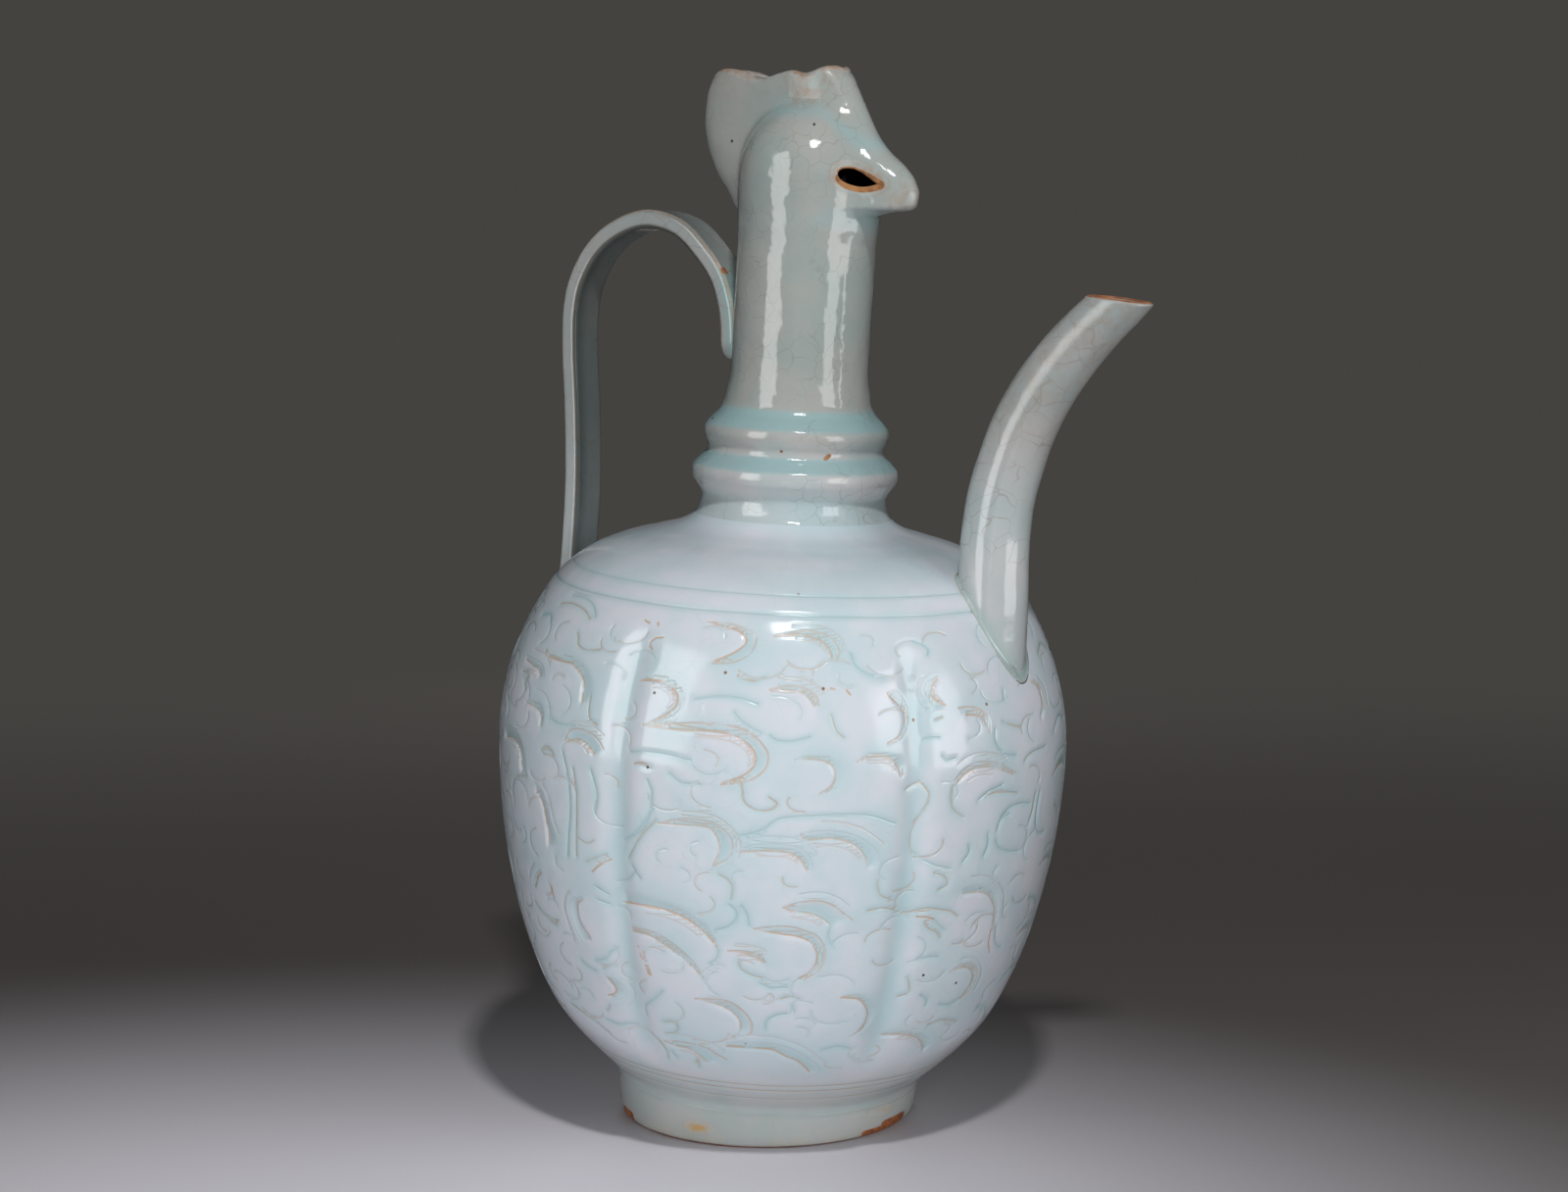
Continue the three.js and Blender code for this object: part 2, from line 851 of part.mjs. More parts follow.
// The origin lies on the standing plane, midway between the handle and the spout's mouth.
const ewer = new THREE.Group();
ewer.add(pot);
ewer.updateMatrixWorld(true);
const extent = new THREE.Box3().setFromObject(ewer, true);
pot.position.x = -(extent.min.x + extent.max.x) / 2;

export default ewer;
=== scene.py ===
# Phoenix-head ewer of carved qingbai porcelain, dressed on its CAD frame. Every shape is worked
# out in the pot's own upright frame in mm (+Z up its axis, +X to the spout, turns from +X), and
# toFrame leans and shifts it onto the CAD nodes.
import math
from functools import partial
import bpy
import numpy as np
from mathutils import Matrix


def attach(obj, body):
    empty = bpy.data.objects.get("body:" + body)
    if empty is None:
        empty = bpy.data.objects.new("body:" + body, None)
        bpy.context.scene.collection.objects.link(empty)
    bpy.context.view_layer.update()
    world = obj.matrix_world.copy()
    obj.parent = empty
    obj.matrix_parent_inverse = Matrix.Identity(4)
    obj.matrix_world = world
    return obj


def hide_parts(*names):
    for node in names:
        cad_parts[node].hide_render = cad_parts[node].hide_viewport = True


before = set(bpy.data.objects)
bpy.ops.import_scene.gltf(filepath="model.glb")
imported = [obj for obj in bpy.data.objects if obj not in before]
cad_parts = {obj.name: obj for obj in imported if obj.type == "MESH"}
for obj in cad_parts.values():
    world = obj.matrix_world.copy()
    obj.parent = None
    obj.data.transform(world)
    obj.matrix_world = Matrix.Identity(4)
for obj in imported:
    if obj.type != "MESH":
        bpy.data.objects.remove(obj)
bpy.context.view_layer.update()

pot = {"lean": math.radians(3), "neckLean": math.radians(1), "neckFrom": 260.0, "shift": -28.3626}


# Small tools


def neckShift(z):
    # how far the neck's own lean has moved it forward at a height
    return (z - pot["neckFrom"]) * math.tan(pot["neckLean"])


def toFrame(points, leanNeck=False):
    # slide x by the neck's lean, turn about Y by the kiln lean, shift, mm to m
    x, y, z = np.moveaxis(points, -1, 0)
    if leanNeck:
        x = x + neckShift(z)
    c, s = math.cos(pot["lean"]), math.sin(pot["lean"])
    return np.stack([x * c + z * s + pot["shift"], y, z * c - x * s], -1) / 1000


def linear(code):
    # sRGB hex to linear RGBA
    v = np.array([int(code[i:i + 2], 16) for i in (1, 3, 5)]) / 255
    v = np.where(v <= 0.04045, v / 12.92, ((v + 0.055) / 1.055) ** 2.4)
    return (*v.tolist(), 1.0)


def smooth(x, a, b):
    # 0 below a, 1 above b, a smooth S between
    t = np.clip((np.asarray(x, float) - a) / (b - a), 0, 1)
    return t * t * (3 - 2 * t)


def fading(x, a, b, share=1.0):
    # the whole share below a, nothing above b
    return share * (1 - smooth(x, a, b))


def hill(x, a, b, c, d, share=1.0):
    # rises from a to b and falls from c to d
    return smooth(x, a, b) * fading(x, c, d, share)


def mix(a, b, t):
    return a + (b - a) * t


def bell(x, width, share=1.0):
    # the share at zero, falling off as the normal curve over a width
    return share * np.exp(-(x / width) ** 2)


def unit(v):
    return v / np.maximum(np.linalg.norm(v, axis=-1, keepdims=True), 1e-12)


def reachOf(offset):
    return np.hypot(offset[..., 0], offset[..., 1])


def wrapped(degrees):
    return (degrees + 180) % 360 - 180


def circle(count):
    # turns in radians, evenly round the axis
    return np.arange(count) * 2 * np.pi / count


def smoothTable(x, table):
    # y(x) through pairs, cubic and without overshoot: each slope is the weighted harmonic mean of
    # the slopes on both sides, and zero at a turning point
    px, py = np.array(table, float).T
    h, d = np.diff(px), np.diff(py) / np.diff(px)
    m = np.r_[d[0], np.zeros(len(px) - 2), d[-1]]
    same = np.flatnonzero(d[:-1] * d[1:] > 0)
    w1, w2 = (2 * h[1:] + h[:-1])[same], (h[1:] + 2 * h[:-1])[same]
    m[same + 1] = (w1 + w2) / (w1 / d[same] + w2 / d[same + 1])
    x = np.clip(x, px[0], px[-1])
    k = np.clip(np.searchsorted(px, x) - 1, 0, len(h) - 1)
    u = (x - px[k]) / h[k]
    return (py[k] * (1 + 2 * u) * (1 - u) ** 2 + m[k] * h[k] * u * (1 - u) ** 2
            + py[k + 1] * u * u * (3 - 2 * u) + m[k + 1] * h[k] * u * u * (u - 1))


def curveThrough(points, steps):
    # centripetal Catmull-Rom curve: cubics whose slopes come from the neighbours, weighted by the
    # square roots of the distances between the points
    p = np.array(points, float)
    p = np.vstack([2 * p[0] - p[1], p, 2 * p[-1] - p[-2]])
    dt = np.sqrt(np.maximum(np.linalg.norm(np.diff(p, axis=0), axis=1), 1e-9))[:, None]
    a, b, c, d = p[:-3], p[1:-2], p[2:-1], p[3:]
    d0, d1, d2 = dt[:-2], dt[1:-1], dt[2:]
    t1 = d1 * ((b - a) / d0 - (c - a) / (d0 + d1) + (c - b) / d1)
    t2 = d1 * ((c - b) / d1 - (d - b) / (d1 + d2) + (d - c) / d2)
    u = (np.arange(steps) / steps)[None, :, None]
    b, c, t1, t2 = (q[:, None, :] for q in (b, c, t1, t2))
    path = (b * (2 * u ** 3 - 3 * u ** 2 + 1) + t1 * (u ** 3 - 2 * u ** 2 + u)
            + c * (3 * u ** 2 - 2 * u ** 3) + t2 * (u ** 3 - u ** 2))
    return np.vstack([path.reshape(-1, p.shape[1]), p[-2]])


def evenly(path, count):
    # the same path as count points, evenly spaced along it
    s = np.r_[0, np.cumsum(np.linalg.norm(np.diff(path, axis=0), axis=1))]
    at = np.linspace(0, s[-1], count)
    return np.stack([np.interp(at, s, path[:, k]) for k in range(path.shape[1])], 1)


def strip(below, above):
    # quads between closed rings of vertex numbers, or between rows of such rings
    quads = np.stack([below, np.roll(below, -1, -1), np.roll(above, -1, -1), above], -1)
    return quads.reshape(-1, 4)


def gridFaces(table):
    return strip(table[:-1], table[1:])


def gridNumbers(rows, columns, *_):
    return np.arange(rows * columns).reshape(rows, columns)


def roundedLip(outer, inner, rise, steps):
    # half an ellipse over the edge of a wall, from its outer ring to its inner one
    arc = np.linspace(0, np.pi, steps)[1:-1, None, None]
    return (outer + inner) / 2 + (outer - inner) / 2 * np.cos(arc) + rise * np.sin(arc)


def normalsOf(grid, leanNeck=False):
    # on the frame, for a grid closed round its columns: the step along a row crossed with the step up
    grid = toFrame(grid, leanNeck)
    return unit(np.cross(np.roll(grid, -1, 1) - np.roll(grid, 1, 1), np.gradient(grid, axis=0)))


def newObject(name, data):
    made = bpy.data.objects.new(name, data)
    bpy.context.scene.collection.objects.link(made)
    return made


def piece(name, node, slotName, points, layers, faces=None, leanNeck=False, normals=None):
    # one mesh piece on the frame, in its slot's glaze. A grid of points without faces is closed
    # round its columns and from its last row to its first. Layers are vertex attributes. normals
    # holds a normal for each vertex that shares its smooth surface with a neighbouring piece, and
    # zeros elsewhere.
    if faces is None:
        table = gridNumbers(*points.shape)
        faces = [strip(table, np.roll(table, -1, 0))]
    used, numbers = np.unique(np.concatenate(faces), return_inverse=True)
    corners = [list(dict.fromkeys(q)) for q in numbers.reshape(-1, 4).tolist()]
    places = toFrame(points, leanNeck).reshape(-1, 3)[used]
    mesh = bpy.data.meshes.new(name)
    mesh.from_pydata(places.tolist(), [], [c for c in corners if len(c) > 2])
    for key, values in layers.items():
        width = 3 if np.ndim(values) == points.ndim else 1
        values = np.broadcast_to(values, points.shape[:-1] + (3,) * (width == 3)).reshape(-1, width)
        kind, socket = {1: ("FLOAT", "value"), 3: ("FLOAT_VECTOR", "vector")}[width]
        data = mesh.attributes.new(key, kind, "POINT").data
        data.foreach_set(socket, values[used].astype(np.float32).ravel())
    mesh.shade_smooth()
    mesh.update()
    if normals is not None:
        own = np.zeros(len(used) * 3, np.float32)
        mesh.vertex_normals.foreach_get("vector", own)
        own, given = own.reshape(-1, 3), normals.reshape(-1, 3)[used]
        there = np.abs(given).sum(1) > 0.5
        own[there] = given[there]
        mesh.normals_split_custom_set_from_vertices(own.tolist())
    mesh.materials.append(glazes[slotName])
    made = newObject(name, mesh)
    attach(made, "root")
    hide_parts(node)
    mesh.calc_loop_triangles()
    print(f"{name}: {len(mesh.loop_triangles)} triangles")


# Camera, at the photograph's place

view = {"at": (0.5090, -0.8005, 0.2920), "heading": (-0.552, 0.834), "pitch": 6.22, "lens": 62.1,
        "sensor": 36}
camera = newObject("camera", bpy.data.cameras.new("camera"))
camera.data.lens = view["lens"]
camera.data.sensor_width = view["sensor"]
camera.location = view["at"]
camera.rotation_euler = (math.radians(90 - view["pitch"]), 0,
                         math.atan2(view["heading"][1], view["heading"][0]) - math.pi / 2)
bpy.context.scene.camera = camera


# Glazes


def addNode(tree, kind, settings, *feeds, out=0):
    # adds a shader node and gives back one of its outputs. settings are its properties; feeds go
    # to its inputs in order, or a dictionary feeds them by name or number. A socket is linked,
    # and a number or colour is set on the input itself.
    node = tree.nodes.new("ShaderNode" + kind)
    for key, value in settings.items():
        setattr(node, key, value)
    pairs = feeds[0].items() if feeds and isinstance(feeds[0], dict) else enumerate(feeds)
    for key, value in pairs:
        if isinstance(value, bpy.types.NodeSocket):
            tree.links.new(value, node.inputs[key])
        else:
            node.inputs[key].default_value = linear(value) if isinstance(value, str) else value
    return node.outputs[out] if node.outputs else None


times, plus, minus, atLeast, length = ({"operation": name} for name in
                                       ("MULTIPLY", "ADD", "SUBTRACT", "MAXIMUM", "LENGTH"))
easy, colours = {"interpolation_type": "SMOOTHSTEP"}, {"data_type": "RGBA"}


def newMaterial(name):
    # an empty material, and the function that adds its nodes
    made = bpy.data.materials.new(name)
    made.use_nodes = True
    made.node_tree.nodes.clear()
    return made, partial(addNode, made.node_tree)


# the same in every glaze. Pairs are where a soft change begins and ends: heights in m, distances in
# mm or in cells, and otherwise values of a noise or of a vertex attribute. Single numbers say by how
# much something counts; lineRise is a height in mm, and core the share of a line at full strength
common = {
    "offFoot": (0.012, 0.045), "atNeck": (0.210, 0.262), "clouds": (0.36, 0.64), "guard": (0.8, 1.1),
    "broken": (0.50, 0.80), "brokenGrain": 0.6, "bend": 0.8, "worn": (0.44, 0.62), "blotchPatch": 0.7,
    "blotchGrain": 0.6, "blotched": (0.52, 0.80), "edges": 0.85, "dot": (0.02, 0.05), "chosen": (0.72, 0.76),
    "strewn": 0.6, "speck": (0.3, 0.75), "placed": (0.0, 0.4), "black": (0.5, 1.0), "mottle": (0.8, 1.2),
    "ragged": 0.4, "bare": (0.40, 0.60), "patchRough": 0.06, "dull": 0.45, "marked": (0.0, 0.3),
    "lineRise": -0.10, "core": 0.2,
}


def glaze(name, look):
    # Qingbai glaze over white porcelain, brushed and dipped: a thin clear glass with a blue cast.
    # It shows nearly white where it lies thin, blue-green where it pools in the cuts, and tan
    # where it runs off an edge; its surface is a wet gloss with slow waves from the throwing.
    made, add = newMaterial(name)
    place = add("TexCoord", {}, out="Object")
    up = add("SeparateXYZ", {}, place, out=2)
    inMm = add("VectorMath", {"operation": "SCALE"}, {0: place, "Scale": 1000.0})
    pool, thin, bare, tone, smoke = (add("Attribute", {"attribute_name": key}, out="Fac")
                                     for key in ("pool", "thin", "bare", "rimTone", "smoke"))
    # soft noises: the size of their patches in mm, their detail, and where each is cut from
    cloud, patch, grain, wave, peel, wear = (
        add("TexNoise", {"noise_dimensions": "4D"},
            {"Vector": inMm, "Scale": 1 / size, "Detail": detail, "W": cutAt})
        for size, detail, cutAt in (
            (look["cloudMm"], 3.0, 0.0), (8.0, 2.0, 3.0), (2.2, 2.0, 7.0), (15.0, 1.0, 5.0), (3.2, 1.0, 9.0),
            (look["crackleMm"] * 2.2, 1.0, 11.0)))

    def mark(key):
        # a mark's distance across the surface, and the value that it carries as its third part
        offset = add("Attribute", {"attribute_name": key}, out="Vector")
        across = add("VectorMath", times, offset, (1, 1, 0))
        return add("VectorMath", length, across, out="Value"), add("SeparateXYZ", {}, offset, out=2)

    # one glaze over the whole pot: whitest on the belly, greyer at the foot and from the shoulder
    # up, with clouds of a cooler one
    offFoot, atNeck = (add("MapRange", easy, up, *common[key]) for key in ("offFoot", "atNeck"))
    colour, cool = (add("Mix", colours, {
        0: atNeck, 6: add("Mix", colours, {0: offFoot, 6: low, 7: middle}, out=2), 7: top}, out=2)
        for low, middle, top in (look["pale"], look["cool"]))
    clouds = add("MapRange", easy, cloud, *common["clouds"])

    # pools, uneven by patches
    uneven = add("Math", minus, patch, 0.5)
    pools = add("Math", times, look["pooling"],
                add("Math", {**plus, "use_clamp": True}, pool, add("Math", times, uneven, look["patchy"])))

    # thin lines along the cuts: tan where the edge is sharp, dark blue-green where it is deep;
    # the length of the offset at the vertices guards against lines halfway between two edges
    toRim, guard = mark("rim")
    near = add("Math", times,
               add("MapRange", easy, toRim, look["lineMm"] * common["core"], look["lineMm"], 1.0, 0.0),
               add("MapRange", easy, guard, *common["guard"], 1.0, 0.0))
    deepTone, tanTone = (add("Math", times, near, add("Math", atLeast, add("Math", times, tone, sign), 0.0))
                         for sign in (-1.0, 1.0))
    broken = add("Math", plus, patch, add("Math", times, grain, common["brokenGrain"]))
    broken = add("MapRange", easy, broken, *common["broken"])

    # crackle: cell borders bent by noise and worn off in patches
    bend = add("TexNoise", {}, {"Vector": inMm, "Scale": 1 / look["crackleMm"], "Detail": 1.0}, out="Color")
    farthest = (look["crackleMm"] * common["bend"],) * 3
    bent = add("VectorMath", {"operation": "MULTIPLY_ADD"}, bend, farthest, inMm)
    border = add("TexVoronoi", {"feature": "DISTANCE_TO_EDGE"},
                 {"Vector": bent, "Scale": 1 / look["crackleMm"]}, out="Distance")
    crack = add("Math", times, add("MapRange", easy, wear, *common["worn"]),
                add("MapRange", easy, border, 0.0, look["crackleLineMm"] / look["crackleMm"], 1.0, 0.0))

    # tan in blotches where the glaze thins on an edge, and solid where thin goes beyond 1
    blotch = add("Math", plus, add("Math", times, patch, common["blotchPatch"]),
                 add("Math", times, grain, common["blotchGrain"]))
    blotched = add("Math", times, thin, add("MapRange", easy, blotch, *common["blotched"]))
    edges = add("Math", atLeast, blotched, add("Math", minus, thin, 1.0))

    # iron specks: strewn ones by cells, placed ones by their attribute, which also paints shade dark inside
    # the head and crest
    cells = {"Vector": inMm, "Scale": 1 / look["speckMm"]}
    chosen = add("SeparateColor", {}, add("TexVoronoi", {}, cells, out="Color"))
    dot = add("MapRange", easy, add("TexVoronoi", {}, cells, out="Distance"), *common["dot"], 1.0, 0.0)
    strewn = add("Math", times, dot, add("MapRange", easy, chosen, *common["chosen"]))
    toSpeck, darkness = mark("speck")
    placed = add("Math", times, add("MapRange", easy, toSpeck, *common["speck"], 1.0, 0.0),
                 add("MapRange", easy, darkness, *common["placed"]))
    black = add("MapRange", easy, darkness, *common["black"])
    ironAndShade = add("Mix", colours, {0: black, 6: look["rust"], 7: look["ironAndShade"]}, out=2)

    # bare clay, fired orange-brown
    mottle = add("MapRange", easy, add("Math", plus, patch, grain), *common["mottle"])
    clay = add("Mix", colours, {0: mottle, 6: look["clay"], 7: look["clayDark"]}, out=2)
    ragged = add("Math", plus, bare, add("Math", times, uneven, common["ragged"]))
    bareShare = add("MapRange", easy, ragged, *common["bare"])

    # each layer covers what lies under it by its share; a layer of painted shade darkens the glaze under it
    # where the handle lies in shade
    for share, over in (
            (clouds, cool), (pools, look["pooled"]),
            (add("Math", times, deepTone, look["deepLines"]), look["deep"]),
            (add("Math", times, add("Math", times, tanTone, broken), look["tanLines"]), look["tan"]),
            (add("Math", times, crack, look["crackle"]), look["stain"]),
            (add("Math", {**times, "use_clamp": True}, edges, common["edges"]), look["edge"]),
            (smoke, look["shaded"]), (add("Math", times, strewn, common["strewn"]), look["rust"]),
            (placed, ironAndShade), (bareShare, clay)):
        colour = add("Mix", colours, {0: share, 6: colour, 7: over}, out=2)

    # duller where it is thin, matt where it is bare; lines stand a little below the skin
    rough = add("Math", plus, look["rough"], add("Math", times, patch, common["patchRough"]))
    for share in (bareShare, thin):
        rough = add("Math", plus, rough, add("Math", times, share, common["dull"]))
    marked = add("MapRange", easy, add("Math", {"operation": "ABSOLUTE"}, tone), *common["marked"])
    height = add("Math", times, add("Math", times, near, marked), common["lineRise"])
    for swell, rise in ((wave, look["wave"]), (peel, look["peel"])):
        height = add("Math", plus, height, add("Math", times, swell, rise))
    bump = add("Bump", {}, {"Height": height, "Strength": 1.0, "Distance": 0.001})
    shader = add("BsdfPrincipled", {}, {"Base Color": colour, "Roughness": rough, "Normal": bump, "IOR": 1.5,
                                        "Specular IOR Level": look["shine"]})
    add("OutputMaterial", {}, {"Surface": shader})
    return made


# lengths that end in Mm are in millimetres on the pot; wave and peel are heights in mm; pale and cool are the
# colours at the foot, on the belly and from the shoulder up. The smoky grey-green is painted shade, and the
# iron colour also paints shade inside the head and crest
thickGlaze = {
    "pale": ("#b6b8b5", "#d3d5dd", "#a3a5a2"), "cool": ("#abb3b1", "#c5d1d8", "#98a2a1"), "cloudMm": 24.0,
    "pooled": "#a3c6ca", "pooling": 0.75, "patchy": 0.4,
    "lineMm": 0.58, "tan": "#c09a79", "tanLines": 0.74, "deep": "#86a6a8", "deepLines": 0.36,
    "crackleMm": 13.0, "crackleLineMm": 0.25, "crackle": 0.10, "stain": "#9a9d96",
    "edge": "#96755c", "shaded": "#3a4341", "speckMm": 15.0, "rust": "#85684c", "ironAndShade": "#2b2421",
    "clay": "#c4854f", "clayDark": "#96592f", "rough": 0.12, "shine": 0.4, "wave": 0.34, "peel": 0.03,
}
thrownGlaze = {
    "pale": ("#b6b8b5", "#cccacc", "#a5a6a2"), "cool": ("#abb3b1", "#c2cacd", "#99a3a0"),
    "pooled": "#8fb3b7", "crackleMm": 6.5, "crackle": 0.36, "stain": "#7d7e76", "clay": "#a8784c",
    "clayDark": "#7d5433", "rough": 0.06, "shine": 0.5, "wave": 0.9, "peel": 0.15, "speckMm": 10.0,
}
thinGlaze = {
    "pale": ("#bfc1bf", "#babcbd", "#a5a5a3"), "cool": ("#b4bbb9", "#b0b7b8", "#9aa2a1"),
    "pooled": "#8fb0ad", "crackleMm": 8.0, "crackle": 0.5, "stain": "#857870", "clay": "#a5704c",
    "clayDark": "#7f5238", "rough": 0.08, "shine": 0.5, "wave": 0.5, "peel": 0.09,
}
footGlaze = {"pooled": "#a3bcb9", "edge": "#c0a06e", "rough": 0.1, "clay": "#b56d3c", "clayDark": "#7c4425"}
glazes = {slotName: glaze(name, {**thickGlaze, **look}) for slotName, name, look in (
    ("body_glaze", "carvedQingbaiGlaze", {}), ("neck_glaze", "thrownQingbaiGlaze", thrownGlaze),
    ("fitting_glaze", "thinQingbaiGlaze", thinGlaze), ("foot_glaze", "footQingbaiGlaze", footGlaze))}


def biscuit(name, light, dark):
    # Unglazed porcelain, smoothed by hand with slip: matt, cream-white, faintly blotched
    made, add = newMaterial(name)
    blotch = add("TexNoise", {}, {"Vector": add("TexCoord", {}, out="Object"), "Scale": 120.0, "Detail": 3.0})
    colour = add("Mix", colours, {0: blotch, 6: light, 7: dark}, out=2)
    bump = add("Bump", {}, {"Height": blotch, "Strength": 0.5, "Distance": 0.0005})
    shader = add("BsdfPrincipled", {}, {"Base Color": colour, "Normal": bump, "Roughness": 0.75})
    add("OutputMaterial", {}, {"Surface": shader})
    return made


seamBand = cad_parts["belly_seam_slip"]
seamBand.data.materials.clear()
seamBand.data.materials.append(biscuit("smoothedSlip", "#d9cfbf", "#c6b79f"))
print("glazes done")


# Thrown body: one outline turned round the axis, pressed with six grooves and carved

thrown = {  # radius and height in mm, from the foot to the head
    "outline": [
        (55, 14.5), (56.2, 17.2), (61.0, 21.9), (70.6, 31.3), (77.8, 40), (83, 49), (90.2, 66.6), (95, 83.9),
        (99.3, 106.9), (101.4, 135), (100.7, 149), (97.8, 163), (92.5, 177), (85.2, 190), (78.6, 197.5),
        (70.9, 203), (60.8, 207.5), (50.2, 210.5), (40.2, 213.5), (35, 217), (33.1, 221.1), (32.8, 224.5),
        (34.6, 227.6), (36.2, 230), (36.6, 232), (36.1, 234.4), (34, 236.8), (31.7, 239.2), (31.2, 241.4),
        (32.1, 243.6), (32.8, 246), (32.4, 248.4), (30.4, 250.9), (27.7, 253.6), (26.2, 256.6), (25.5, 260),
        (24.6, 265), (24.3, 270), (24.3, 286), (24.3, 312)],
    "steps": 60, "columns": 720, "lowerRows": 122, "upperRows": 116, "belly": 135.0, "shoulder": 217.0,
    "wall": 5.0, "underside": 14.5, "floor": 20.5, "bore": 20.0, "hiddenRings": 9,
    "undersideRadii": (24, 48), "floorRadii": (50, 25), "floorCurve": 26, "throat": 211, "vault": 205,
    "over": 3,
    # heights and share of the glaze that pools on the shoulder, above the foot and against the collar
    "shoulderPool": (192, 205, 208, 214, 0.25), "footPool": (15, 20, 0.25),
    "collarPool": (213.5, 217.5), "collarShare": 0.5,
}
# heights where they start, are full, begin to end and end; share and power of the glaze in them
grooves = {"turns": (-89, -31, 30, 91, 149, 210), "depth": 2.0, "width": 5.5, "heights": (31, 47, 174, 190),
           "pooled": (0.75, 1.5)}
outline = curveThrough(thrown["outline"], thrown["steps"])
outlineLength = np.r_[0, np.cumsum(np.hypot(*np.diff(outline, axis=0).T))]


def radiusAt(z):
    return np.interp(z, outline[:, 1], outline[:, 0])


def lengthAt(z):
    return np.interp(z, outline[:, 1], outlineLength)


def grooveShare(turn, z):
    # 1 in the bed of a groove: the bell curve of the distance across it, faded at both ends
    across = np.abs(wrapped(turn[..., None] - np.array(grooves["turns"]))).min(-1)
    return bell(np.radians(across) * radiusAt(z), grooves["width"]) * hill(z, *grooves["heights"])


def outsideBody(points, grow=0.0):
    # how far points lie outside the body's surface, grown by a distance, measured along the radius,
    # where a grown surface moves by the distance over the cosine of its slope, up to 4 times it
    turn = np.degrees(np.arctan2(points[..., 1], points[..., 0]))
    surface = radiusAt(points[..., 2]) - grooves["depth"] * grooveShare(turn, points[..., 2])
    slope = np.interp(points[..., 2], outline[:, 1], np.gradient(outline[:, 0], outline[:, 1]))
    return reachOf(points) - surface - grow * np.minimum(np.hypot(1, slope), 4)


